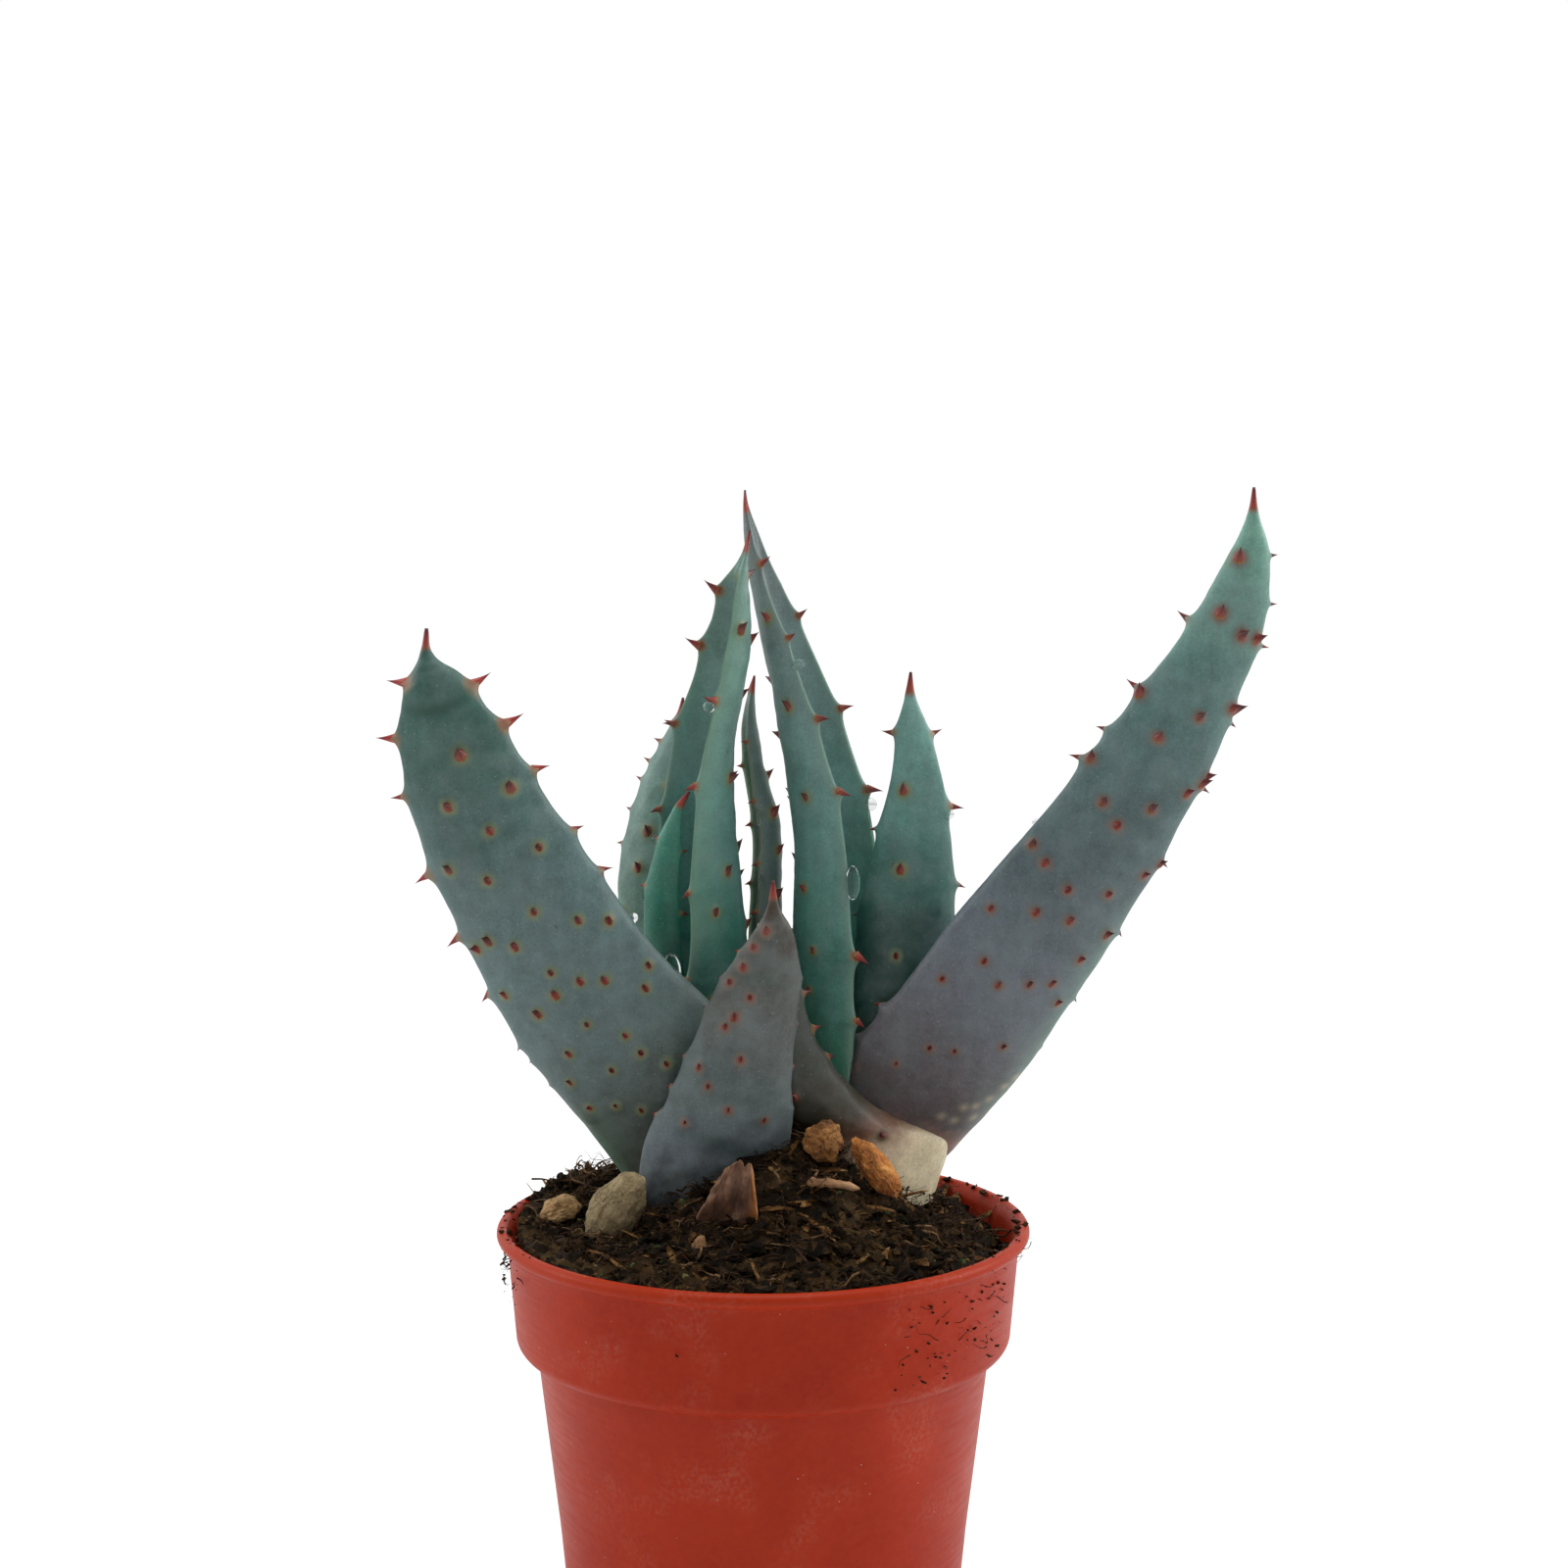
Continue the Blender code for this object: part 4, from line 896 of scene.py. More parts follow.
# %% [markdown]
# A thorn is a hollow-sided cone whose point curls over a little. One unit cone is bent in the
# tree, then copied to every seed point, turned to that point's aim and stretched to its size.
# How high each spot is on its thorn is stored as "rise", for the paint to read.

# %% The thorn tree
thorn_tree, ends_in, ends_out = new_tree("grow_thorns", [
    ("Sides", "NodeSocketInt", 10), ("Rings", "NodeSocketInt", 6), ("Curl", "NodeSocketFloat", 0.3),
    ("Draw In", "NodeSocketFloat", 0.30), ("Paint", "NodeSocketMaterial", None)])
cone = wire(thorn_tree, add_node(thorn_tree.nodes, "GeometryNodeMeshCone", fill_type="TRIANGLE_FAN"),
            Vertices=ends_in.outputs["Sides"], Side_Segments=ends_in.outputs["Rings"], Radius_Top=0.0,
            Radius_Bottom=1.0, Depth=1.0)
here = add_node(thorn_tree.nodes, "GeometryNodeInputPosition")
parts = wire(thorn_tree, add_node(thorn_tree.nodes, "ShaderNodeSeparateXYZ"), Vector=here.outputs[0])
rise = parts.outputs["Z"]
slim = math_node(thorn_tree, "POWER", math_node(thorn_tree, "SUBTRACT", 1.0001, rise),
                 ends_in.outputs["Draw In"])
curl = math_node(thorn_tree, "MULTIPLY", math_node(thorn_tree, "POWER", rise, 2.0), ends_in.outputs["Curl"])
bent = wire(thorn_tree, add_node(thorn_tree.nodes, "ShaderNodeCombineXYZ"),
            X=math_node(thorn_tree, "ADD", math_node(thorn_tree, "MULTIPLY", parts.outputs["X"], slim), curl),
            Y=math_node(thorn_tree, "MULTIPLY", parts.outputs["Y"], slim), Z=rise)
shaped = wire(thorn_tree, add_node(thorn_tree.nodes, "GeometryNodeSetPosition"),
              Geometry=cone.outputs["Mesh"], Position=bent.outputs[0])
keep_rise = wire(thorn_tree, add_node(thorn_tree.nodes, "GeometryNodeStoreNamedAttribute", data_type="FLOAT"),
                 Geometry=shaped.outputs[0], Name="rise", Value=rise)
aimed = wire(thorn_tree, add_node(thorn_tree.nodes, "FunctionNodeAlignRotationToVector", axis="Z"),
             Vector=named(thorn_tree, "FLOAT_VECTOR", "aim"))
turned_to = wire(thorn_tree, add_node(thorn_tree.nodes, "FunctionNodeAlignRotationToVector", axis="X",
                                      pivot_axis="Z"),
                 Rotation=aimed.outputs[0], Vector=named(thorn_tree, "FLOAT_VECTOR", "wide"))
copies = wire(thorn_tree, add_node(thorn_tree.nodes, "GeometryNodeInstanceOnPoints"),
              Points=ends_in.outputs["Geometry"], Instance=keep_rise.outputs[0],
              Rotation=turned_to.outputs[0], Scale=named(thorn_tree, "FLOAT_VECTOR", "size"))
end_tree(thorn_tree, ends_in, ends_out, copies.outputs[0])
print("thorn tree with", len(thorn_tree.nodes), "nodes")

# %% [markdown]
# A thorn is horn, not flesh: tan where it leaves the leaf, then coral red, and dark maroon at
# its point. Some are a duller brown. It is smoother and glossier than the skin round it.

# %% Paint the thorns
thorn_paint, nodes, links, shader = new_paint("horny_thorn")
rise = add_node(nodes, "ShaderNodeAttribute", attribute_name="rise").outputs["Fac"]
tint = add_node(nodes, "ShaderNodeAttribute", attribute_name="tint").outputs["Fac"]
place = add_node(nodes, "ShaderNodeTexCoord").outputs["Object"]
grain = noise_at(nodes, links, place, 2600.0, 3.0)
shifted = sum_up(nodes, links, "ADD", rise, band_of(nodes, links, grain, 0.3, 0.7, -0.06, 0.06))
bright = ramp_of(nodes, links, shifted, [(0.02, (0.34, 0.16, 0.06)), (0.15, (0.50, 0.07, 0.04)),
                                         (0.55, (0.40, 0.032, 0.030)), (0.95, (0.09, 0.010, 0.014))])
brown = ramp_of(nodes, links, shifted, [(0.02, (0.36, 0.20, 0.08)), (0.14, (0.20, 0.055, 0.028)),
                                        (0.50, (0.085, 0.020, 0.016)), (0.95, (0.025, 0.008, 0.008))])
links.new(colour_mix(nodes, links, tint, brown, bright), shader.inputs["Base Color"])
set_inputs(shader, Roughness=0.38, Subsurface_Weight=0.15, Subsurface_Radius=(1.0, 0.3, 0.15),
           Subsurface_Scale=0.6 * MM)
relief(nodes, links, shader, grain, 0.00003, 0.4)
print("thorn paint ready")

# %% [markdown]
# The skin of this aloe is thick and waxy. A thin blue-grey bloom lies over the green, rubbed
# and mottled in places, with fine lines along the leaf and tiny pale dots. Round every thorn
# the bloom is missing, and the skin shows an orange ring inside a green one. All ten leaves
# share these effects in one node group, and each leaf keeps its own colours from base to tip.

# %% The skin effect
skin, ends_in, ends_out = new_effect(
    "waxy_skin",
    [("Place", "NodeSocketVector", None), ("Flesh", "NodeSocketColor", None),
     ("Halo", "NodeSocketFloat", 0.0), ("Ring", "NodeSocketColor", None), ("Core", "NodeSocketColor", None),
     ("Blush", "NodeSocketFloat", 0.0), ("Margin", "NodeSocketFloat", 0.0),
     ("Margin Colour", "NodeSocketColor", None),
     ("Bloom", "NodeSocketFloat", 0.3), ("Dots", "NodeSocketFloat", 0.4)],
    [("Colour", "NodeSocketColor"), ("Roughness", "NodeSocketFloat"), ("Height", "NodeSocketFloat")])
nodes, links = skin.nodes, skin.links
place = ends_in.outputs["Place"]
slow = noise_at(nodes, links, place, 70.0, 4.0, 0.5)
mottle = noise_at(nodes, links, place, 330.0, 5.0, 0.6)
grain = noise_at(nodes, links, place, 2400.0, 3.0, 0.6)
stretch = add_node(nodes, "ShaderNodeMapping")
stretch.inputs["Scale"].default_value = (1.0, 1.0, 0.12)
links.new(place, stretch.inputs["Vector"])
lines = noise_at(nodes, links, stretch.outputs["Vector"], 620.0, 3.0, 0.5)
shade = sum_up(nodes, links, "MULTIPLY", band_of(nodes, links, mottle, 0.25, 0.75, 0.80, 1.20),
               band_of(nodes, links, grain, 0.25, 0.75, 0.80, 1.20))
shade = sum_up(nodes, links, "MULTIPLY", shade, band_of(nodes, links, lines, 0.3, 0.7, 0.93, 1.07))
shade = sum_up(nodes, links, "MULTIPLY", shade, band_of(nodes, links, slow, 0.3, 0.7, 0.86, 1.14))
grey = add_node(nodes, "ShaderNodeCombineColor")
for channel in grey.inputs[:3]:
    links.new(shade, channel)
toned = colour_mix(nodes, links, 1.0, ends_in.outputs["Flesh"], grey.outputs[0], "MULTIPLY")
rubbed = band_of(nodes, links, noise_at(nodes, links, place, 160.0, 6.0, 0.65), 0.42, 0.66)
bloom = sum_up(nodes, links, "MULTIPLY", rubbed, ends_in.outputs["Bloom"])
waxed = colour_mix(nodes, links, bloom, toned, (0.24, 0.31, 0.31))
cells = add_node(nodes, "ShaderNodeTexVoronoi", feature="F1")
links.new(place, cells.inputs["Vector"])
cells.inputs["Scale"].default_value = 1500.0
dots = band_of(nodes, links, cells.outputs["Distance"], 0.10, 0.22, 1.0, 0.0)
dots = sum_up(nodes, links, "MULTIPLY", dots, sum_up(nodes, links, "LESS_THAN", cells.outputs["Color"], 0.25))
dots = sum_up(nodes, links, "MULTIPLY", dots, ends_in.outputs["Dots"])
dotted = colour_mix(nodes, links, dots, waxed, (0.42, 0.50, 0.46))
fray = band_of(nodes, links, mottle, 0.3, 0.7, -0.10, 0.10)
ragged = sum_up(nodes, links, "ADD", ends_in.outputs["Halo"], fray)
skin_colour = dotted
for low, high, most, shade in ((0.12, 0.55, 0.75, ends_in.outputs["Ring"]),
                               (0.55, 0.90, 0.95, ends_in.outputs["Core"])):
    skin_colour = colour_mix(nodes, links, band_of(nodes, links, ragged, low, high, 0.0, most), skin_colour, shade)
skin_colour = colour_mix(nodes, links, ends_in.outputs["Margin"], skin_colour, ends_in.outputs["Margin Colour"])
flushed = sum_up(nodes, links, "ADD", ends_in.outputs["Blush"], fray)
for low, high, most, shade in ((0.12, 0.42, 0.75, (0.30, 0.17, 0.07)), (0.36, 0.72, 0.95, (0.30, 0.035, 0.022))):
    skin_colour = colour_mix(nodes, links, band_of(nodes, links, flushed, low, high, 0.0, most), skin_colour, shade)
links.new(skin_colour, ends_out.inputs["Colour"])
links.new(band_of(nodes, links, bloom, 0.0, 0.6, 0.42, 0.62), ends_out.inputs["Roughness"])
relief_height = sum_up(nodes, links, "ADD", sum_up(nodes, links, "MULTIPLY", mottle, 0.8),
                       sum_up(nodes, links, "ADD", sum_up(nodes, links, "MULTIPLY", grain, 0.28), lines))
links.new(relief_height, ends_out.inputs["Height"])
print("skin group with", len(nodes), "nodes")

# %% [markdown]
# No two leaves have the same colour. Old outer leaves are grey-purple from the sun, the inner
# ones are green, and the base that was in the dark is cream. Each leaf gets its colours in
# order from base to tip, those of the rings round its prickles, and of its margin. On some
# leaves the darkest stops near the base are painted shade, deep in the rosette.

# %% Colours of each leaf from base to tip
GREEN_RING, PINK_RING = (0.20, 0.24, 0.12), (0.20, 0.15, 0.12)
ORANGE_CORE, OLIVE_CORE, RED_CORE = (0.30, 0.115, 0.05), (0.27, 0.15, 0.05), (0.28, 0.085, 0.06)
LEAF_COLOURS = {
    "left_large": dict(
        stops=[(0.09, (0.44, 0.25, 0.21)), (0.17, (0.11, 0.085, 0.075)), (0.24, (0.075, 0.10, 0.082)),
               (0.40, (0.123, 0.195, 0.192)), (0.60, (0.105, 0.183, 0.179)), (0.82, (0.064, 0.142, 0.12)),
               (0.96, (0.030, 0.113, 0.086))],
        ring=GREEN_RING, core=ORANGE_CORE, margin=(0.12, 0.14, 0.07), edge=0.35, bloom=0.30, spine=3.6),
    "right_large": dict(
        stops=[(0.06, (0.72, 0.50, 0.36)), (0.13, (0.46, 0.28, 0.22)), (0.18, (0.15, 0.125, 0.13)),
               (0.36, (0.145, 0.165, 0.20)), (0.55, (0.088, 0.135, 0.142)), (0.75, (0.11, 0.215, 0.20)),
               (0.95, (0.18, 0.38, 0.30))],
        ring=PINK_RING, core=RED_CORE, margin=(0.20, 0.31, 0.22), edge=0.45, bloom=0.30, spine=4.2),
    # The near-black first stop is painted shade at the foot of the leaf.
    "front_small": dict(
        stops=[(0.15, (0.016, 0.018, 0.026)), (0.30, (0.115, 0.145, 0.165)), (0.48, (0.105, 0.14, 0.135)),
               (0.70, (0.125, 0.13, 0.118)), (0.88, (0.075, 0.065, 0.050)), (0.97, (0.07, 0.045, 0.03))],
        ring=(0.22, 0.16, 0.12), core=(0.28, 0.08, 0.055), margin=(0.18, 0.07, 0.05), edge=0.55, bloom=0.35,
        spine=3.4),
    # The darkest stops at the base are painted shade deep in the rosette.
    "centre_left": dict(
        stops=[(0.0, (0.004, 0.08, 0.05)), (0.22, (0.005, 0.09, 0.055)), (0.38, (0.030, 0.20, 0.15)),
               (0.55, (0.12, 0.31, 0.27)), (0.75, (0.145, 0.295, 0.25)), (0.94, (0.16, 0.29, 0.25))],
        ring=GREEN_RING, core=OLIVE_CORE, margin=(0.24, 0.33, 0.27), edge=0.45, bloom=0.32, spine=4.2),
    "centre_right": dict(
        stops=[(0.0, (0.12, 0.36, 0.24)), (0.14, (0.07, 0.28, 0.18)), (0.30, (0.065, 0.225, 0.175)),
               (0.52, (0.135, 0.32, 0.275)), (0.78, (0.18, 0.275, 0.26)), (0.94, (0.17, 0.20, 0.20))],
        ring=GREEN_RING, core=OLIVE_CORE, margin=(0.26, 0.36, 0.30), edge=0.45, bloom=0.32, spine=4.2),
    "far_left": dict(
        stops=[(0.0, (0.05, 0.12, 0.09)), (0.35, (0.09, 0.19, 0.14)), (0.60, (0.15, 0.27, 0.22)),
               (0.90, (0.17, 0.30, 0.26))],
        ring=GREEN_RING, core=ORANGE_CORE, margin=(0.20, 0.27, 0.16), edge=0.4, bloom=0.30, spine=4.0),
    "inner_young": dict(
        stops=[(0.0, (0.04, 0.07, 0.06)), (0.40, (0.085, 0.13, 0.12)), (0.70, (0.12, 0.18, 0.165)),
               (0.95, (0.14, 0.21, 0.19))],
        ring=GREEN_RING, core=RED_CORE, margin=(0.34, 0.33, 0.22), edge=0.75, bloom=0.30, spine=3.4),
    # The dark lower stops are painted shade inside the crown.
    "young_left": dict(
        stops=[(0.0, (0.003, 0.04, 0.015)), (0.42, (0.006, 0.08, 0.04)), (0.66, (0.035, 0.21, 0.14)),
               (0.90, (0.07, 0.28, 0.20))],
        ring=(0.08, 0.24, 0.08), core=OLIVE_CORE, margin=(0.12, 0.24, 0.16), edge=0.4, bloom=0.16, spine=3.5),
    # The dark stops from the base to the middle are painted shade where the leaf lies behind its neighbours.
    "right_short": dict(
        stops=[(0.0, (0.004, 0.07, 0.03)), (0.20, (0.008, 0.10, 0.05)), (0.32, (0.018, 0.066, 0.052)),
               (0.50, (0.022, 0.082, 0.068)), (0.72, (0.125, 0.30, 0.255)), (0.93, (0.19, 0.39, 0.34))],
        ring=GREEN_RING, core=OLIVE_CORE, margin=(0.20, 0.31, 0.26), edge=0.35, bloom=0.30, spine=4.2),
    "front_right": dict(
        stops=[(0.0, (0.94, 0.84, 0.56)), (0.22, (0.92, 0.80, 0.52)), (0.29, (0.78, 0.62, 0.42)),
               (0.36, (0.26, 0.135, 0.085)), (0.45, (0.060, 0.048, 0.028)), (0.75, (0.055, 0.065, 0.052)),
               (0.95, (0.06, 0.075, 0.05))],
        ring=(0.12, 0.10, 0.06), core=(0.22, 0.06, 0.04), margin=(0.40, 0.34, 0.24), edge=0.6, bloom=0.14,
        spine=3.5),
}
print(len(LEAF_COLOURS), "sets of leaf colours")

# %% [markdown]
# The paint reads numbers that the mesh carries at every point: how far along the leaf it is,
# how near to the tip, to a thorn or to the margin, and where the leaf is creased (with painted
# shade in the crease), freckled or given painted light along one side. So the pattern follows
# the leaf wherever it bends. The last few millimetres turn to horn.

# %% Paint a leaf
def attribute(nodes, label):
    return add_node(nodes, "ShaderNodeAttribute", attribute_name=label).outputs["Fac"]


def paint_leaf(name, colours):
    paint, nodes, links, shader = new_paint("skin_" + name)
    place = add_node(nodes, "ShaderNodeTexCoord").outputs["Object"]
    wander = band_of(nodes, links, noise_at(nodes, links, place, 120.0, 3.0), 0.3, 0.7, -0.035, 0.035)
    along = sum_up(nodes, links, "ADD", attribute(nodes, "along"), wander)
    effect = use_effect(nodes, skin)
    links.new(place, effect.inputs["Place"])
    links.new(ramp_of(nodes, links, along, colours["stops"]), effect.inputs["Flesh"])
    links.new(attribute(nodes, "halo"), effect.inputs["Halo"])
    links.new(attribute(nodes, "blush"), effect.inputs["Blush"])
    links.new(sum_up(nodes, links, "MULTIPLY", attribute(nodes, "margin"), colours["edge"]),
              effect.inputs["Margin"])
    effect.inputs["Ring"].default_value = (*colours["ring"], 1.0)
    effect.inputs["Core"].default_value = (*colours["core"], 1.0)
    effect.inputs["Margin Colour"].default_value = (*colours["margin"], 1.0)
    effect.inputs["Bloom"].default_value = colours["bloom"]
    horn = band_of(nodes, links, attribute(nodes, "to_tip"), 0.0, colours["spine"], 1.0, 0.0)
    horn_colour = ramp_of(nodes, links, horn, [(0.0, (0.22, 0.12, 0.07)), (0.35, (0.34, 0.06, 0.04)),
                                               (0.75, (0.24, 0.03, 0.03)), (1.0, (0.07, 0.012, 0.014))])
    is_horn = band_of(nodes, links, horn, 0.0, 0.22)
    coat = effect.outputs["Colour"]
    # The first entry is painted light, a lighter green along one side; the second is painted shade in the creases;
    # the third paints the pale freckles.
    for label, share, shade in (("painted_side_light", 0.55, (0.20, 0.40, 0.27)), ("crease_and_shade", 0.85, (0.015, 0.075, 0.05)),
                                ("pale", 0.70, (0.52, 0.46, 0.32))):
        amount = sum_up(nodes, links, "MULTIPLY", attribute(nodes, label), share)
        coat = colour_mix(nodes, links, amount, coat, shade)
    links.new(colour_mix(nodes, links, is_horn, coat, horn_colour), shader.inputs["Base Color"])
    links.new(effect.outputs["Roughness"], shader.inputs["Roughness"])
    set_inputs(shader, Subsurface_Weight=0.10, Subsurface_Radius=(0.5, 1.0, 0.5), Subsurface_Scale=1.2 * MM)
    relief(nodes, links, shader, effect.outputs["Height"], 0.00009, 0.5)
    return paint


print("leaf paint ready")

# %% [markdown]
# The marks of a leaf are numbers over its skin. A prickle lifts the skin into a mound with a
# ring round it, and a tooth lets a red blush run into the margin. A leaf also keeps creases
# where its neighbour was pressed against it, darkened with painted shade, pale freckles, and
# on some leaves a painted light: a lighter green along one side where the lamps leave it dark.

# %% Mark the skin of a leaf
def skin_marks(leaf, shape, thorns):
    """How high the skin stands, in mm, and the strength of each mark, at every grid point."""
    grid = shape["grid"]
    halo, rise, blush, crease_and_shade, pale, painted_side_light = (np.zeros(grid.shape[:2]) for _ in range(6))
    flush = leaf.get("flush", 0.30)
    for point, _, _, size, _, tooth in thorns:
        gap = np.linalg.norm(grid - point, axis=2)
        if tooth:
            blush = np.maximum(blush, (0.4 + flush) * np.exp(-(gap / (0.30 + flush * tooth)) ** 2))
        else:
            halo = np.maximum(halo, np.exp(-(gap / (0.50 + 0.85 * size[0])) ** 2))
            rise += 0.40 * size[0] * np.exp(-(gap / 1.0) ** 2)
    places, turn = shape["places"][:, None], shape["turn"][None, :]
    # Creases: a dent in the skin, and painted shade that darkens it.
    for at, bow, depth in leaf.get("creases", ()):
        gap = (places - at - bow * np.sin(turn)) / 1.1
        crease_and_shade = np.maximum(crease_and_shade, depth * np.sin(turn) ** 2 * np.exp(-gap ** 2))
    for place, across in leaf.get("freckles", ()):
        ring, column = spot(shape, place, across)
        pale = np.maximum(pale, np.exp(-(np.linalg.norm(grid - grid[ring, column], axis=2) / 0.75) ** 2))
    # Painted light: a lighter green band along one side of the leaf, between two places.
    for low, high, side, amount in leaf.get("painted_side_light", ()):
        reach = amount * np.clip((places - low) / 6.0, 0, 1) * np.clip((high - places) / 12.0, 0, 1)
        painted_side_light = np.maximum(painted_side_light, reach * np.exp(-((turn if side > 0 else math.pi - turn) / 0.62) ** 2))
    return rise - 0.22 * crease_and_shade, dict(halo=halo, blush=blush, crease_and_shade=crease_and_shade, pale=pale, painted_side_light=painted_side_light)


print("leaf marks ready")

# %% [markdown]
# Now each leaf is made in one go: its grid of points becomes a closed skin with a cap at
# either end, the marks become attributes for the paint, and the thorn tree grows its thorns.

# %% Make the leaves and their thorns
def leaf_mesh(name, leaf, shape, thorns):
    rise, marks = skin_marks(leaf, shape, thorns)
    grid = shape["grid"] + shape["normals"] * rise[:, :, None]
    rings, sides = grid.shape[:2]
    points = np.concatenate([grid.reshape(-1, 3), grid[:1].mean(axis=1), grid[-1:].mean(axis=1)]) * MM
    faces = [(r * sides + c, r * sides + (c + 1) % sides, (r + 1) * sides + (c + 1) % sides,
              (r + 1) * sides + c) for r in range(rings - 1) for c in range(sides)]
    last = (rings - 1) * sides
    faces += [(rings * sides, (c + 1) % sides, c) for c in range(sides)]
    faces += [(rings * sides + 1, last + c, last + (c + 1) % sides) for c in range(sides)]
    mesh = bpy.data.meshes.new("leaf_skin_" + name)
    mesh.from_pydata(points.tolist(), [], faces)
    slant = leaf.get("slant", 0.0) * np.cos(shape["turn"])[None, :]
    along = (shape["places"][:, None] / shape["total"] + slant).ravel()
    to_tip = np.repeat(shape["total"] - shape["places"], sides)
    margin = np.tile(np.exp(-(np.sin(shape["turn"]) / 0.11) ** 2), rings)
    for label, values, ends in (("along", along, (0, 1)), ("to_tip", to_tip, (shape["total"], 0)),
                                ("margin", margin, (0, 0)),
                                *((key, field.ravel(), (0, 0)) for key, field in marks.items())):
        layer = mesh.attributes.new(label, "FLOAT", "POINT")
        layer.data.foreach_set("value", np.concatenate([values, ends]))
    face_out(mesh)
    mesh.shade_smooth()
    return mesh


def finish_leaf(name, leaf):
    shape = build_leaf(leaf)
    thorns = thorns_of(leaf, shape)
    mesh = leaf_mesh(name, leaf, shape, thorns)
    mesh.materials.append(paint_leaf(name, LEAF_COLOURS[name]))
    hand_over(put("leaf_skin_" + name, mesh), "leaf_" + name)
    seeds = seed_mesh("thorn_seeds", [np.array(t[0]) * MM for t in thorns], aim=[t[1] for t in thorns],
                      wide=[t[2] for t in thorns], size=[np.array(t[3]) * MM for t in thorns],
                      tint=[t[4] for t in thorns])
    hand_over(run_tree("thorns_" + name, seeds, thorn_tree, {"Paint": thorn_paint}))
    return shape


shapes = {name: finish_leaf(name, leaf) for name, leaf in LEAVES.items()}
print("ten leaves made")

# %% [markdown]
# The pot is filled nearly to the lip with dark peat. It lies higher at the back left, is
# heaped round the two crowns, and is never even: it is a bed of clods with dark gaps between
# them. The bed itself is one closed lump with a finely broken surface. What lies loose on it
# comes afterwards.

# %% Model the bed of peat
SOIL_EDGE = INNER_RADIUS - 0.35 * MM
HEAPS = ((3.0, -2.0, 16.0, 19.0), (-27.0, 14.0, 4.2, 9.0), (26.0, -18.0, 1.8, 8.0), (-14.0, -24.0, 1.0, 9.0),
         (24.0, 22.0, 2.0, 9.0), (-33.0, 2.0, 1.2, 8.0))


def soil_height(x, y):
    """Height of the peat over the lip, in mm, at a place in mm from the pot's axis."""
    share = math.hypot(x, y) / (SOIL_EDGE / MM)
    heading = math.atan2(y, x)
    height = -1.2 + 2.2 * share ** 2 * math.cos(heading - math.radians(165.0))
    for at_x, at_y, rise, wide in HEAPS:
        height += rise * math.exp(-((x - at_x) ** 2 + (y - at_y) ** 2) / wide ** 2)
    sag = max(0.0, share - 0.90) / 0.10
    dip = math.exp(-((heading - math.radians(8.0)) / 0.55) ** 2)
    return height - sag ** 2 * (0.5 + 2.2 * dip)


def clods(x, y):
    """Broken surface of the peat, in mm."""
    at = Vector((x, y, 0.0))
    lump = noise.voronoi(at * 0.36)[0]
    small = noise.voronoi(at * 0.85 + Vector((5.0, 0.0, 0.0)))[0]
    return ((lump[1] - lump[0]) * 1.9 + (small[1] - small[0]) * 0.85 + noise.noise(at * 0.11) * 1.0
            + noise.noise(at * 1.9) * 0.35 - 1.3)


bed_points, rings = [], []
RING_COUNT, SPOKES = 120, 330
for ring in range(1, RING_COUNT + 1):
    radius = SOIL_EDGE / MM * ring / RING_COUNT
    rings.append(list(range(len(bed_points), len(bed_points) + SPOKES)))
    for spoke in range(SPOKES):
        x = radius * math.cos(2 * math.pi * spoke / SPOKES)
        y = radius * math.sin(2 * math.pi * spoke / SPOKES)
        bed_points.append((x, y, soil_height(x, y) + clods(x, y)))
for depth, radius in ((-9.0, SOIL_EDGE / MM - 0.6), (-30.0, SOIL_EDGE / MM - 6.5)):
    rings.append(list(range(len(bed_points), len(bed_points) + SPOKES)))
    bed_points += [(radius * math.cos(2 * math.pi * k / SPOKES), radius * math.sin(2 * math.pi * k / SPOKES), depth)
               for k in range(SPOKES)]
bed_faces = []
for low, high in zip(rings, rings[1:]):
    bed_faces += [(low[k], low[(k + 1) % SPOKES], high[(k + 1) % SPOKES], high[k]) for k in range(SPOKES)]
bed_points += [(0.0, 0.0, soil_height(0, 0)), (0.0, 0.0, -30.0)]
bed_faces += [(len(bed_points) - 2, rings[0][(k + 1) % SPOKES], rings[0][k]) for k in range(SPOKES)]
bed_faces += [(len(bed_points) - 1, rings[-1][k], rings[-1][(k + 1) % SPOKES]) for k in range(SPOKES)]
top_faces = (RING_COUNT - 1) * SPOKES
bed_points = [(x * MM, y * MM, LIP + z * MM) for x, y, z in bed_points]
print("peat bed", len(bed_faces), "faces")

# %% [markdown]
# Damp peat is nearly black in its gaps and a warm brown where it dries on top. Its colour
# changes from crumb to crumb, and nothing on it shines except a few wet grains.

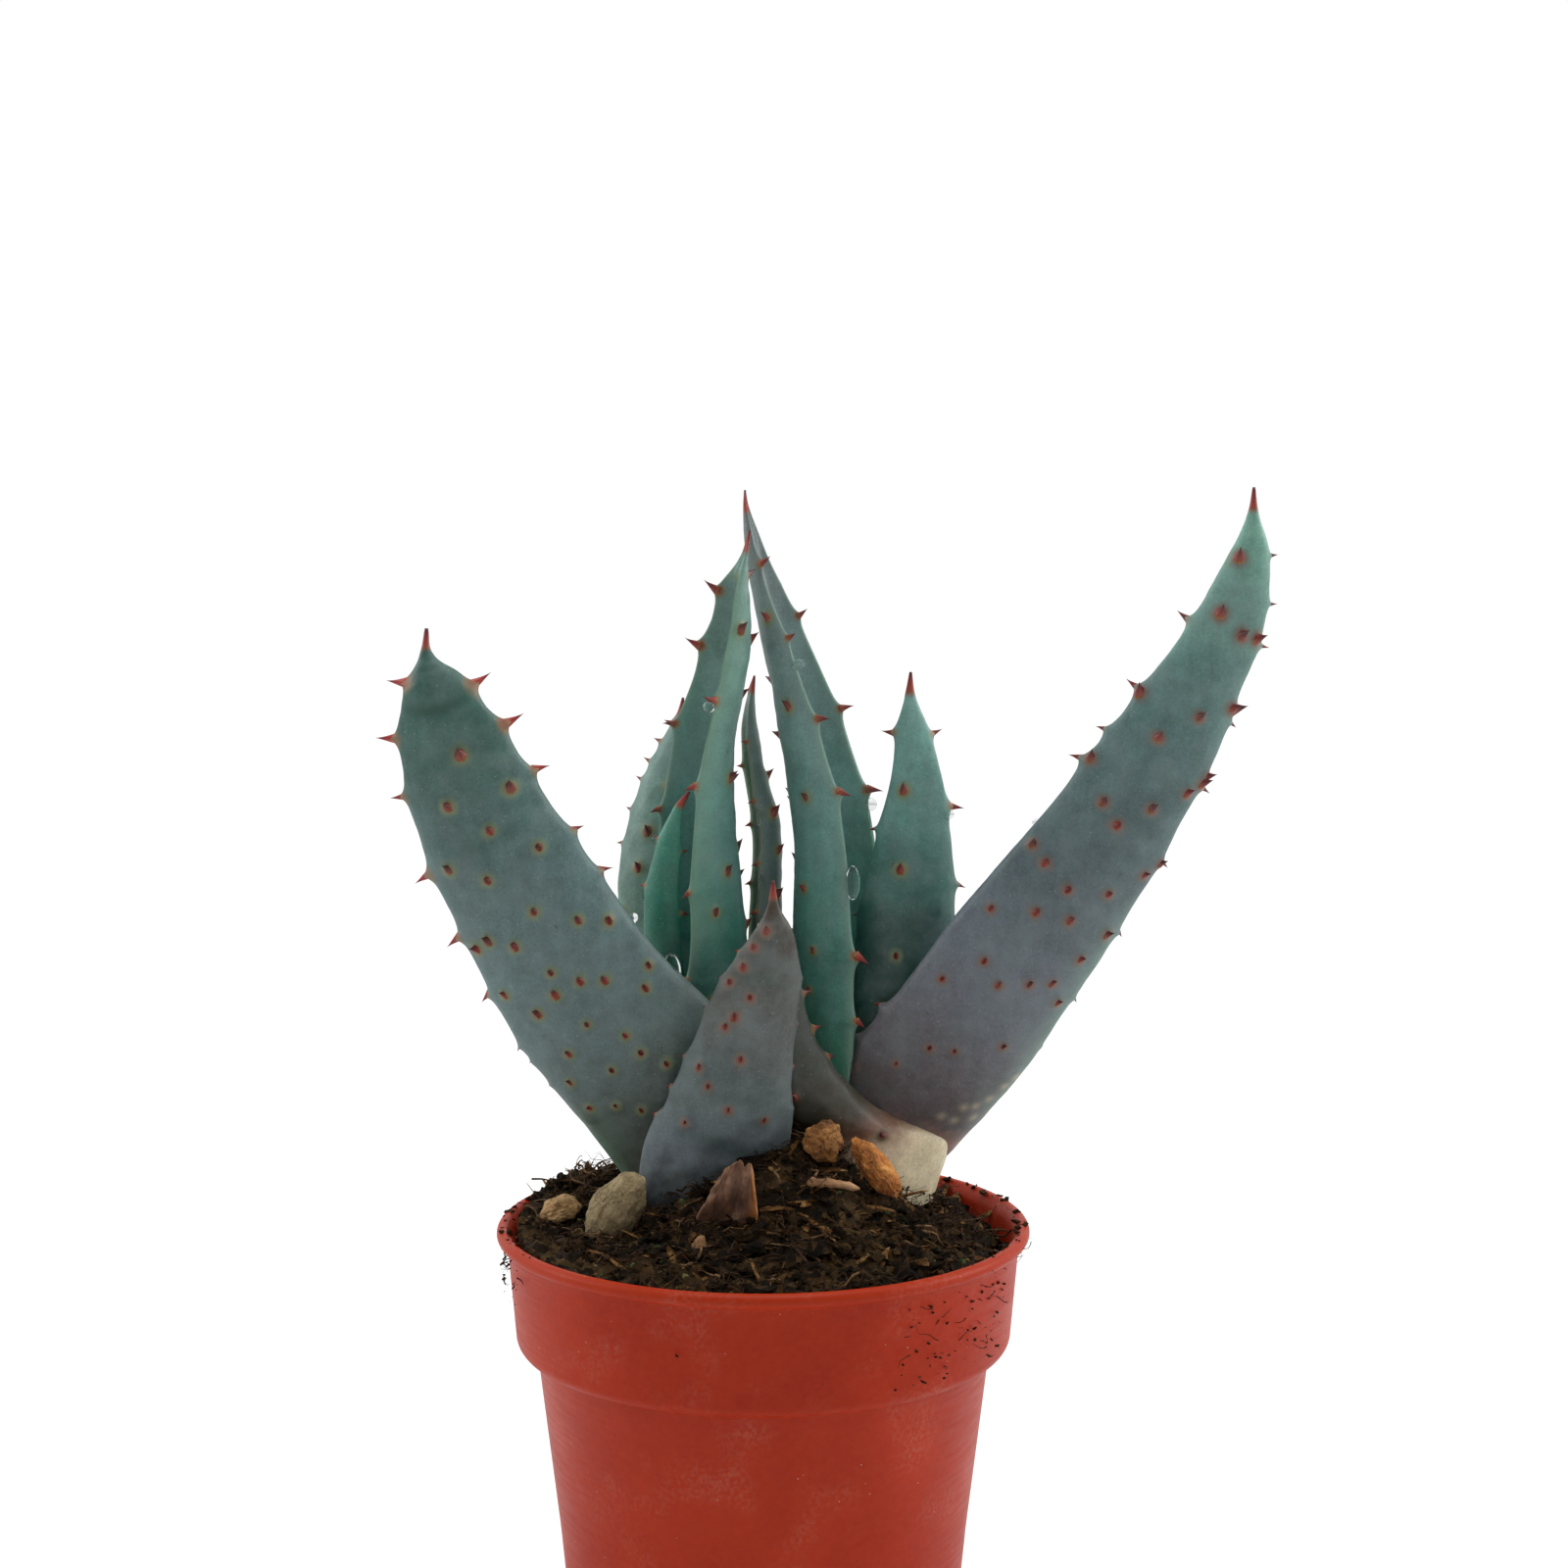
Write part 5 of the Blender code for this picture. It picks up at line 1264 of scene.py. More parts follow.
# %% Paint the peat
def paint_peat(name, dark, middle, light, roughness=0.9):
    paint, nodes, links, shader = new_paint(name)
    place = add_node(nodes, "ShaderNodeTexCoord").outputs["Object"]
    crumbs = add_node(nodes, "ShaderNodeTexVoronoi", feature="F1")
    crumbs.inputs["Scale"].default_value = 620.0
    links.new(place, crumbs.inputs["Vector"])
    fleck = add_node(nodes, "ShaderNodeSeparateColor")
    links.new(crumbs.outputs["Color"], fleck.inputs[0])
    slow = noise_at(nodes, links, place, 160.0, 5.0, 0.65)
    mixed = sum_up(nodes, links, "ADD", sum_up(nodes, links, "MULTIPLY", fleck.outputs[0], 0.45),
                   sum_up(nodes, links, "MULTIPLY", slow, 0.75))
    colour = ramp_of(nodes, links, mixed, [(0.30, dark), (0.58, middle), (0.88, light)])
    grain = noise_at(nodes, links, place, 2200.0, 5.0, 0.7)
    colour = colour_mix(nodes, links, band_of(nodes, links, grain, 0.35, 0.75, 0.0, 0.5), colour, dark)
    links.new(colour, shader.inputs["Base Color"])
    links.new(band_of(nodes, links, fleck.outputs[1], 0.90, 1.0, roughness, 0.45), shader.inputs["Roughness"])
    shader.inputs["Specular IOR Level"].default_value = 0.12
    relief(nodes, links, shader, sum_up(nodes, links, "ADD", grain, crumbs.outputs["Distance"]), 0.00035, 0.9)
    return paint


peat_paint = paint_peat("peat_soil", (0.004, 0.003, 0.002), (0.026, 0.016, 0.007), (0.13, 0.075, 0.028))
soil = new_piece("peat_bed", bed_points, bed_faces, peat_paint, "soil")

# %% [markdown]
# Loose crumbs are scattered over the peat by a tree. It spreads points over a surface, puts
# a rough lump on each, turns it at random and stretches it unevenly, so that one lump looks
# like hundreds of different ones. The same tree lays crumbs, grit and bark.

# %% The crumb tree
crumb_tree, ends_in, ends_out = new_tree("scatter_crumbs", [
    ("Per Square Metre", "NodeSocketFloat", 400000.0), ("Smallest", "NodeSocketFloat", 0.0003),
    ("Largest", "NodeSocketFloat", 0.0012), ("Flatness", "NodeSocketFloat", 0.7),
    ("Roundness", "NodeSocketInt", 1), ("Roughness", "NodeSocketFloat", 0.5), ("Stretch", "NodeSocketFloat", 1.0),
    ("Seed", "NodeSocketInt", 1), ("Paint", "NodeSocketMaterial", None)])
lump = wire(crumb_tree, add_node(crumb_tree.nodes, "GeometryNodeMeshIcoSphere"), Radius=1.0,
            Subdivisions=ends_in.outputs["Roundness"])
wobble = wire(crumb_tree, add_node(crumb_tree.nodes, "ShaderNodeTexNoise"), Scale=1.3, Detail=2.0)
centred = wire(crumb_tree, add_node(crumb_tree.nodes, "ShaderNodeVectorMath", operation="SUBTRACT"))
crumb_tree.links.new(wobble.outputs["Color"], centred.inputs[0])
centred.inputs[1].default_value = (0.5, 0.5, 0.5)
pushed = add_node(crumb_tree.nodes, "ShaderNodeVectorMath", operation="SCALE")
crumb_tree.links.new(centred.outputs[0], pushed.inputs[0])
crumb_tree.links.new(math_node(crumb_tree, "MULTIPLY", ends_in.outputs["Roughness"], 3.0), pushed.inputs["Scale"])
rough = wire(crumb_tree, add_node(crumb_tree.nodes, "GeometryNodeSetPosition"),
             Geometry=lump.outputs["Mesh"], Offset=pushed.outputs[0])
spread = wire(crumb_tree, add_node(crumb_tree.nodes, "GeometryNodeDistributePointsOnFaces"),
              Mesh=ends_in.outputs["Geometry"], Density=ends_in.outputs["Per Square Metre"],
              Seed=ends_in.outputs["Seed"])
spin = wire(crumb_tree, add_node(crumb_tree.nodes, "FunctionNodeRandomValue", data_type="FLOAT_VECTOR"),
            Seed=ends_in.outputs["Seed"])
spin.inputs[0].default_value, spin.inputs[1].default_value = (-0.6, -0.6, 0.0), (0.6, 0.6, 6.28)
pick = add_node(crumb_tree.nodes, "FunctionNodeRandomValue", data_type="FLOAT")
crumb_tree.links.new(math_node(crumb_tree, "ADD", ends_in.outputs["Seed"], 7.0), pick.inputs["Seed"])
skewed = math_node(crumb_tree, "POWER", pick.outputs[1], 2.6)
size = wire(crumb_tree, add_node(crumb_tree.nodes, "ShaderNodeMapRange"), Value=skewed)
crumb_tree.links.new(ends_in.outputs["Smallest"], size.inputs["To Min"])
crumb_tree.links.new(ends_in.outputs["Largest"], size.inputs["To Max"])
uneven = wire(crumb_tree, add_node(crumb_tree.nodes, "FunctionNodeRandomValue", data_type="FLOAT_VECTOR"))
uneven.inputs[0].default_value, uneven.inputs[1].default_value = (0.7, 0.5, 0.4), (1.2, 1.0, 0.8)
stretch = add_node(crumb_tree.nodes, "ShaderNodeVectorMath", operation="SCALE")
crumb_tree.links.new(uneven.outputs[0], stretch.inputs[0])
crumb_tree.links.new(size.outputs[0], stretch.inputs["Scale"])
thin = add_node(crumb_tree.nodes, "ShaderNodeVectorMath", operation="MULTIPLY")
flat = wire(crumb_tree, add_node(crumb_tree.nodes, "ShaderNodeCombineXYZ"), Y=1.0,
            X=ends_in.outputs["Stretch"], Z=ends_in.outputs["Flatness"])
crumb_tree.links.new(stretch.outputs[0], thin.inputs[0])
crumb_tree.links.new(flat.outputs[0], thin.inputs[1])
copies = wire(crumb_tree, add_node(crumb_tree.nodes, "GeometryNodeInstanceOnPoints"),
              Points=spread.outputs["Points"], Instance=rough.outputs[0], Rotation=spin.outputs[0],
              Scale=thin.outputs[0])
whole = wire(crumb_tree, add_node(crumb_tree.nodes, "GeometryNodeRealizeInstances"), Geometry=copies.outputs[0])
painted = wire(crumb_tree, add_node(crumb_tree.nodes, "GeometryNodeSetMaterial"),
               Geometry=whole.outputs[0], Material=ends_in.outputs["Paint"])
crumb_tree.links.new(painted.outputs[0], ends_out.inputs[0])
print("crumb tree with", len(crumb_tree.nodes), "nodes")


# %% [markdown]
# Potting peat is a mix: crumbs and clods, shreds of moss, fine grains, bark and grit. Each is
# one run of the crumb tree over the top of the bed, with its own sizes and colours.

# %% Scatter crumbs, grit and bark over the peat
def top_patch(keep, lift=0.0):
    """A copy of the peat's top surface where keep(x, y) is true, in mm from the axis."""
    mesh = bpy.data.meshes.new("patch")
    chosen = [face for face in bed_faces[:top_faces]
              if keep(bed_points[face[0]][0] / MM, bed_points[face[0]][1] / MM)]
    used = sorted({corner for face in chosen for corner in face})
    place = {corner: index for index, corner in enumerate(used)}
    mesh.from_pydata([(bed_points[i][0], bed_points[i][1], bed_points[i][2] + lift * MM) for i in used], [],
                     [tuple(place[i] for i in face) for face in chosen])
    return mesh


def everywhere(x, y):
    return math.hypot(x, y) < SOIL_EDGE / MM - 0.9


SCATTERED = (
    # name, slot, per square metre, smallest, largest (mm), flatness, stretch, roughness, seed, colours
    ("peat_crumbs", "peat_soil", 260000, 0.30, 1.7, 0.8, 1.2, 0.6, 3,
     ((0.002, 0.0016, 0.0008), (0.020, 0.0115, 0.0042), (0.11, 0.060, 0.020))),
    ("peat_clods", "peat_soil", 32000, 0.9, 3.4, 0.85, 1.1, 0.8, 2,
     ((0.002, 0.0016, 0.0008), (0.014, 0.0080, 0.0030), (0.075, 0.040, 0.0136))),
    ("peat_shreds", "peat_soil", 120000, 0.20, 0.85, 0.4, 3.8, 0.55, 4,
     ((0.01, 0.0062, 0.0027), (0.045, 0.025, 0.0082), (0.15, 0.0832, 0.0258))),
    ("peat_grains", "peat_soil", 800000, 0.14, 0.42, 0.9, 1.3, 0.4, 5,
     ((0.006, 0.0042, 0.002), (0.04, 0.0229, 0.0082), (0.15, 0.0884, 0.0286))),
    ("bark_chips", "dry_plant", 60000, 0.30, 1.3, 0.35, 3.4, 0.6, 9,
     ((0.05, 0.022, 0.007), (0.21, 0.10, 0.030), (0.46, 0.27, 0.10))),
    ("pale_grit", "tan_stone", 16000, 0.25, 0.85, 0.9, 1.0, 0.35, 12,
     ((0.1, 0.0936, 0.034), (0.24, 0.2184, 0.0816), (0.42, 0.3952, 0.1564))),
    ("green_grit", "tan_stone", 14000, 0.3, 1.1, 0.8, 1.0, 0.35, 17,
     ((0.02, 0.040, 0.010), (0.07, 0.115, 0.034), (0.20, 0.26, 0.11))),
)
for name, slot_name, count, small, large, flatness, stretch_by, rough_by, seed, colours in SCATTERED:
    piece = run_tree(name, top_patch(everywhere, -0.15), crumb_tree, {
        "Per Square Metre": float(count), "Smallest": small * MM, "Largest": large * MM,
        "Flatness": flatness, "Roundness": 2 if large > 1 else 1, "Roughness": rough_by,
        "Stretch": stretch_by, "Seed": seed, "Paint": paint_peat(name, *colours)})
    hand_over(piece)

# %% [markdown]
# Peat holds fibres: roots, moss stalks and splinters, in tangles that stand up from the
# surface. A tree draws a short line on each point, bends it with noise that depends on where
# it is, so no two are alike, and gives it a thin tapering body.

# %% The fibre tree
fibre_tree, ends_in, ends_out = new_tree("scatter_fibres", [
    ("Per Square Metre", "NodeSocketFloat", 60000.0), ("Length", "NodeSocketFloat", 0.006),
    ("Thickness", "NodeSocketFloat", 0.0001), ("Rise", "NodeSocketFloat", 0.35),
    ("Bend", "NodeSocketFloat", 0.002), ("Seed", "NodeSocketInt", 1), ("Paint", "NodeSocketMaterial", None)])
spread = wire(fibre_tree, add_node(fibre_tree.nodes, "GeometryNodeDistributePointsOnFaces"),
              Mesh=ends_in.outputs["Geometry"], Density=ends_in.outputs["Per Square Metre"],
              Seed=ends_in.outputs["Seed"])
line = wire(fibre_tree, add_node(fibre_tree.nodes, "GeometryNodeCurvePrimitiveLine"),
            Start=(-0.5, 0.0, 0.0), End=(0.5, 0.0, 0.0))
steps = wire(fibre_tree, add_node(fibre_tree.nodes, "GeometryNodeResampleCurve"),
             Curve=line.outputs[0], Count=9)
tilt = math_node(fibre_tree, "MULTIPLY", ends_in.outputs["Rise"], -1.0)
lowest = wire(fibre_tree, add_node(fibre_tree.nodes, "ShaderNodeCombineXYZ"), X=0.0, Y=tilt, Z=0.0)
highest = wire(fibre_tree, add_node(fibre_tree.nodes, "ShaderNodeCombineXYZ"), X=0.0,
               Y=ends_in.outputs["Rise"], Z=6.28)
spin = add_node(fibre_tree.nodes, "FunctionNodeRandomValue", data_type="FLOAT_VECTOR")
for index, source in ((0, lowest.outputs[0]), (1, highest.outputs[0]), (8, ends_in.outputs["Seed"])):
    fibre_tree.links.new(source, spin.inputs[index])
pick = wire(fibre_tree, add_node(fibre_tree.nodes, "FunctionNodeRandomValue", data_type="FLOAT"),
            Seed=ends_in.outputs["Seed"])
length = math_node(fibre_tree, "MULTIPLY", ends_in.outputs["Length"],
                   math_node(fibre_tree, "ADD", 0.35, math_node(fibre_tree, "POWER", pick.outputs[1], 2.0)))
copies = wire(fibre_tree, add_node(fibre_tree.nodes, "GeometryNodeInstanceOnPoints"),
              Points=spread.outputs["Points"], Instance=steps.outputs[0], Rotation=spin.outputs[0], Scale=length)
loose = wire(fibre_tree, add_node(fibre_tree.nodes, "GeometryNodeRealizeInstances"), Geometry=copies.outputs[0])
drift = wire(fibre_tree, add_node(fibre_tree.nodes, "ShaderNodeTexNoise"), Scale=260.0, Detail=2.0)
centred = wire(fibre_tree, add_node(fibre_tree.nodes, "ShaderNodeVectorMath", operation="SUBTRACT"))
fibre_tree.links.new(drift.outputs["Color"], centred.inputs[0])
centred.inputs[1].default_value = (0.5, 0.5, 0.42)
moved = add_node(fibre_tree.nodes, "ShaderNodeVectorMath", operation="SCALE")
fibre_tree.links.new(centred.outputs[0], moved.inputs[0])
fibre_tree.links.new(math_node(fibre_tree, "MULTIPLY", ends_in.outputs["Bend"], 3.0), moved.inputs["Scale"])
bent = wire(fibre_tree, add_node(fibre_tree.nodes, "GeometryNodeSetPosition"), Geometry=loose.outputs[0],
            Offset=moved.outputs[0])
share = add_node(fibre_tree.nodes, "GeometryNodeSplineParameter")
taper = math_node(fibre_tree, "SUBTRACT", 1.0, math_node(fibre_tree, "MULTIPLY", share.outputs["Factor"], 0.75))
thick = wire(fibre_tree, add_node(fibre_tree.nodes, "GeometryNodeSetCurveRadius"), Curve=bent.outputs[0],
             Radius=math_node(fibre_tree, "MULTIPLY", taper, ends_in.outputs["Thickness"]))
ring = wire(fibre_tree, add_node(fibre_tree.nodes, "GeometryNodeCurvePrimitiveCircle"), Resolution=5, Radius=1.0)
body = wire(fibre_tree, add_node(fibre_tree.nodes, "GeometryNodeCurveToMesh"), Curve=thick.outputs[0],
            Profile_Curve=ring.outputs[0])
body.inputs["Fill Caps"].default_value = True
if "Scale" in body.inputs:
    radius = add_node(fibre_tree.nodes, "GeometryNodeInputRadius")
    fibre_tree.links.new(radius.outputs[0], body.inputs["Scale"])
smooth = wire(fibre_tree, add_node(fibre_tree.nodes, "GeometryNodeSetShadeSmooth"), Geometry=body.outputs[0])
whole = wire(fibre_tree, add_node(fibre_tree.nodes, "GeometryNodeRealizeInstances"), Geometry=smooth.outputs[0])
painted = wire(fibre_tree, add_node(fibre_tree.nodes, "GeometryNodeSetMaterial"),
               Geometry=whole.outputs[0], Material=ends_in.outputs["Paint"])
fibre_tree.links.new(painted.outputs[0], ends_out.inputs[0])
print("fibre tree with", len(fibre_tree.nodes), "nodes")

# %% [markdown]
# Three kinds of fibre lie in this peat: hair-fine roots, darker moss stalks and pale straws.
# They start well inside the wall, so that few of them poke through it.

# %% Scatter the fibres
FIBRES = (
    # name, per square metre, length, thickness, rise, bend (mm), seed, colours
    ("fine_roots", 190000, 6.0, 0.075, 0.45, 2.6, 21,
     ((0.012, 0.007, 0.004), (0.05, 0.025, 0.013), (0.15, 0.08, 0.04))),
    ("moss_stalks", 36000, 9.0, 0.19, 0.30, 2.4, 23,
     ((0.012, 0.007, 0.005), (0.04, 0.020, 0.011), (0.11, 0.052, 0.026))),
    ("straw_fibres", 18000, 10.0, 0.22, 0.30, 1.8, 29,
     ((0.07, 0.035, 0.015), (0.20, 0.11, 0.05), (0.38, 0.24, 0.12))),
)
for name, count, length, thick, rise, bend, seed, colours in FIBRES:
    piece = run_tree(name, top_patch(lambda x, y: math.hypot(x, y) < SOIL_EDGE / MM - 2.0, 0.35), fibre_tree, {
        "Per Square Metre": float(count), "Length": length * MM, "Thickness": thick * MM,
        "Rise": rise, "Bend": bend * MM, "Seed": seed, "Paint": paint_peat(name, *colours, roughness=0.75)})
    hand_over(piece)

# %% [markdown]
# Growers mix grit into the peat: a river pebble, a pale granule and two lumps of burnt clay
# have worked their way to the top. A stone is a ball stretched to its three sizes, pushed in
# and out by noise at several scales, with a few faces ground flatter than the rest.

# %% Shape the stones
STONES = {
    "pebble_grey": dict(at=(-23.0, -11.5, 4.0), half=(3.9, 3.5, 6.8), turn=(6, 30, 0), rough=0.07, seed=3,
                        slot="grey_stone", pits=0.05,
                        colours=((0.17, 0.125, 0.06), (0.38, 0.29, 0.15), (0.56, 0.45, 0.27))),
    "granule_yellow": dict(at=(-32.0, -4.0, 2.4), half=(3.1, 2.6, 2.2), turn=(0, -14, 25), rough=0.10, seed=8,
                           slot="tan_stone", pits=0.09,
                           colours=((0.28, 0.14, 0.05), (0.60, 0.37, 0.16), (0.85, 0.62, 0.34))),
    "clay_granule_round": dict(at=(9.4, -8.5, 14.4), half=(3.2, 2.6, 3.0), turn=(0, 10, 40), rough=0.16, seed=13,
                               slot="fired_clay", pits=0.11,
                               colours=((0.06, 0.02, 0.006), (0.40, 0.17, 0.042), (0.72, 0.40, 0.14))),
    "clay_granule_long": dict(at=(17.7, -9.0, 10.4), half=(2.2, 2.2, 5.4), turn=(-12, -38, 0), rough=0.08, seed=21,
                              slot="fired_clay", pits=0.10,
                              colours=((0.12, 0.035, 0.008), (0.62, 0.22, 0.045), (0.90, 0.46, 0.13))),
    "chip_tan": dict(at=(-9.6, -24.0, 1.2), half=(1.2, 1.3, 2.4), turn=(0, 14, 0), rough=0.10, seed=34,
                     slot="tan_stone", pits=0.10,
                     colours=((0.12, 0.05, 0.02), (0.32, 0.16, 0.065), (0.50, 0.29, 0.13))),
}


def stone_mesh(stone):
    work = bmesh.new()
    bmesh.ops.create_icosphere(work, subdivisions=6, radius=1.0)
    shift = Vector((stone["seed"] * 7.3, stone["seed"] * 1.9, 0.0))
    angles = [math.radians(angle) for angle in stone["turn"]]
    spin = (Matrix.Rotation(angles[2], 3, "Z") @ Matrix.Rotation(angles[1], 3, "Y")
            @ Matrix.Rotation(angles[0], 3, "X"))
    place = Vector(stone["at"]) * MM + Vector((0.0, 0.0, LIP))
    for vert in work.verts:
        out = vert.co.copy()
        swell = 1.0 + stone["rough"] * 2.2 * noise.noise(out * 1.7 + shift)
        swell += stone["rough"] * 0.7 * noise.noise(out * 4.5 + shift)
        swell += stone["pits"] * (0.55 * noise.noise(out * 8.0 + shift) + 0.30 * noise.noise(out * 30.0 + shift))
        cell = noise.voronoi(out * 1.6 + shift)[0]
        swell -= 0.25 * stone["rough"] * max(0.0, 0.35 - (cell[1] - cell[0]))
        vert.co = place + spin @ Vector([out[k] * stone["half"][k] * MM * swell for k in range(3)])
    return work


def paint_stone(name, dark, middle, light):
    paint, nodes, links, shader = new_paint(name)
    place = add_node(nodes, "ShaderNodeTexCoord").outputs["Object"]
    cloud = noise_at(nodes, links, place, 380.0, 6.0, 0.65, 0.6)
    grain = noise_at(nodes, links, place, 3000.0, 5.0, 0.7)
    tone = sum_up(nodes, links, "ADD", sum_up(nodes, links, "MULTIPLY", cloud, 0.7),
                  sum_up(nodes, links, "MULTIPLY", grain, 0.35))
    colour = ramp_of(nodes, links, tone, [(0.36, dark), (0.54, middle), (0.72, light)])
    marks = use_effect(nodes, dust)
    links.new(place, marks.inputs["Place"])
    marks.inputs["Patch Scale"].default_value = 260.0
    marks.inputs["Grain Scale"].default_value = 2300.0
    marks.inputs["Cover"].default_value = 0.33
    colour = colour_mix(nodes, links, sum_up(nodes, links, "MULTIPLY", marks.outputs["Mask"], 0.75), colour,
                        (0.030, 0.018, 0.010))
    colour = colour_mix(nodes, links, marks.outputs["Specks"], colour, (0.02, 0.014, 0.010))
    links.new(colour, shader.inputs["Base Color"])
    shader.inputs["Roughness"].default_value = 0.86
    relief(nodes, links, shader, sum_up(nodes, links, "ADD", grain, cloud), 0.00022, 0.8)
    return paint


for name, stone in STONES.items():
    mesh = bpy.data.meshes.new("stone_" + name)
    work = stone_mesh(stone)
    work.to_mesh(mesh)
    work.free()
    mesh.shade_smooth()
    mesh.materials.append(paint_stone("stone_" + name, *stone["colours"]))
    piece = put("stone_" + name, mesh)
    hand_over(piece, name)

# %% [markdown]
# In front of the left crown a dead leaf base has dried to a brown papery scale, curled in at
# its sides with a torn top. A splinter of pale wood lies beside the clay. Both are thin
# sheets or rods crumpled by noise, darker where they were wet.

# %% Curl the withered scale and lay the splinter
def bent_sheet(at, width, rise, lean, twist, curl, seed):
    """A grid of points for a curled, torn sheet, in mm from the pot's axis and lip."""
    spin = Matrix.Rotation(math.radians(twist), 3, "Z") @ Matrix.Rotation(math.radians(lean), 3, "Y")
    points = []
    steps = 44
    for row in range(steps + 1):
        v = row / steps
        for column in range(steps + 1):
            u = column / steps * 2.0 - 1.0
            torn = 1.0 - 0.20 * (noise.noise(Vector((u * 2.6, seed, 0.0))) + 0.45) - 0.30 * u * u
            taper = 1.0 - 0.42 * v ** 1.6
            crumple = noise.noise(Vector((u * 2.2, v * 2.6, seed))) * 0.9
            crumple += noise.noise(Vector((u * 7.0, v * 5.0, seed + 4.0))) * 0.28
            depth = -curl * abs(u) ** 2.2 * (0.6 + 0.6 * v) + crumple - 0.9 * math.sin(math.pi * v)
            points.append(Vector(at) + spin @ Vector((u * width / 2 * taper, depth, (v * torn - 0.5) * rise)))
    return [p * MM + Vector((0.0, 0.0, LIP)) for p in points], grid_faces(steps, steps)


def paint_dry(name, dark, middle, light, stretch):
    paint, nodes, links, shader = new_paint(name)
    place = add_node(nodes, "ShaderNodeTexCoord").outputs["Object"]
    along = add_node(nodes, "ShaderNodeMapping")
    along.inputs["Scale"].default_value = stretch
    links.new(place, along.inputs["Vector"])
    veins = noise_at(nodes, links, along.outputs["Vector"], 800.0, 4.0, 0.6)
    stain = noise_at(nodes, links, place, 260.0, 5.0, 0.65)
    tone = sum_up(nodes, links, "ADD", sum_up(nodes, links, "MULTIPLY", veins, 0.45),
                  sum_up(nodes, links, "MULTIPLY", stain, 0.6))
    colour = ramp_of(nodes, links, tone, [(0.36, dark), (0.54, middle), (0.74, light)])
    rim = add_node(nodes, "ShaderNodeAttribute", attribute_name="dry_edge").outputs["Fac"]
    colour = colour_mix(nodes, links, rim, colour, (0.50, 0.19, 0.055))
    links.new(colour, shader.inputs["Base Color"])
    shader.inputs["Roughness"].default_value = 0.62
    relief(nodes, links, shader, sum_up(nodes, links, "ADD", veins, stain), 0.00030, 0.8)
    return paint


points_dry, faces_dry = bent_sheet((-4.4, -19.8, 9.9), 9.2, 11.0, 14, 8, 1.8, 3.7)
scale_mesh = bpy.data.meshes.new("dried_leaf_scale")
scale_mesh.from_pydata([tuple(p) for p in points_dry], [], faces_dry)
scale = put("dried_leaf_scale", scale_mesh)
GRID = int(math.sqrt(len(points_dry)))
edge = scale_mesh.attributes.new("dry_edge", "FLOAT", "POINT")
for index in range(len(points_dry)):
    across, up = (index % GRID) / (GRID - 1), (index // GRID) / (GRID - 1)
    edge.data[index].value = max(0.0, min(1.0, (across - 0.78) / 0.16, up * 3.0)) * 0.85 + 0.5 * max(0.0, up - 0.8)
thicken = scale.modifiers.new("thicken", "SOLIDIFY")
thicken.thickness = 0.00045
thicken.offset = 0.0
plain = bpy.data.meshes.new_from_object(scale.evaluated_get(bpy.context.evaluated_depsgraph_get()))
scale.modifiers.clear()
scale.data = plain
face_out(plain)
plain.shade_smooth()
plain.materials.append(paint_dry("dried_scale", (0.020, 0.010, 0.007), (0.16, 0.075, 0.040), (0.42, 0.24, 0.13),
                                 (1.0, 1.0, 0.2)))
hand_over(scale, "withered_leaf_scale")

splinter_points, splinter_faces = [], []
TURNS, SIDES = 40, 12
for step in range(TURNS + 1):
    share = step / TURNS
    radius = 0.80 * (1.0 - 0.35 * share) * (0.35 + 0.65 * min(1.0, share * 9.0, (1.0 - share) * 7.0))
    bow = 0.35 * math.sin(math.pi * share)
    for corner in range(SIDES):
        angle = 2 * math.pi * corner / SIDES
        local = 1.0 + 0.45 * noise.noise(Vector((share * 9.0, math.cos(angle) * 1.4, math.sin(angle) * 1.4)))
        x = 6.8 + 8.2 * share
        splinter_points.append((x * MM, (-14.6 + 0.5 * share + radius * 0.8 * math.cos(angle) * local) * MM,
                                LIP + (9.45 - 1.1 * share + bow + radius * math.sin(angle) * local) * MM))
for step in range(TURNS):
    for corner in range(SIDES):
        a, b = step * SIDES + corner, step * SIDES + (corner + 1) % SIDES
        splinter_faces.append((a, b, b + SIDES, a + SIDES))
splinter_faces += [tuple(range(SIDES)), tuple(TURNS * SIDES + corner for corner in range(SIDES))]
splinter = new_piece("pale_splinter", splinter_points, splinter_faces,
                     paint_dry("splinter", (0.08, 0.025, 0.010), (0.44, 0.22, 0.09), (0.70, 0.44, 0.24),
                               (0.25, 1.0, 1.0)), "wood_sliver")
for name in ("stem_left", "stem_right"):
    stem_paint = paint_dry("flesh_of_" + name, (0.22, 0.17, 0.09), (0.36, 0.30, 0.18), (0.50, 0.43, 0.28),
                           (1.0, 1.0, 0.3))
    for slot_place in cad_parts[name].material_slots:
        slot_place.material = stem_paint
print("root necks painted")

# %% [markdown]
# Potting is messy. Crumbs and fibres stick to the outside of the band where hands and water
# left them, mostly at the right and the far left, and lie along the lip. The crumb and fibre
# trees are run again on strips of the pot's own wall.

# %% Dirt on the wall and the lip
def wall_strip(start, end, low, high, radius):
    """A strip of the pot's wall between two headings (degrees) and two heights over the lip (mm)."""
    mesh = bpy.data.meshes.new("strip")
    steps, levels = 24, 4
    points = []
    for level in range(levels + 1):
        z = LIP + (low + (high - low) * level / levels) * MM
        for step in range(steps + 1):
            heading = math.radians(start + (end - start) * step / steps)
            points.append((radius * math.cos(heading), radius * math.sin(heading), z))
    mesh.from_pydata(points, [], grid_faces(levels, steps))
    return mesh


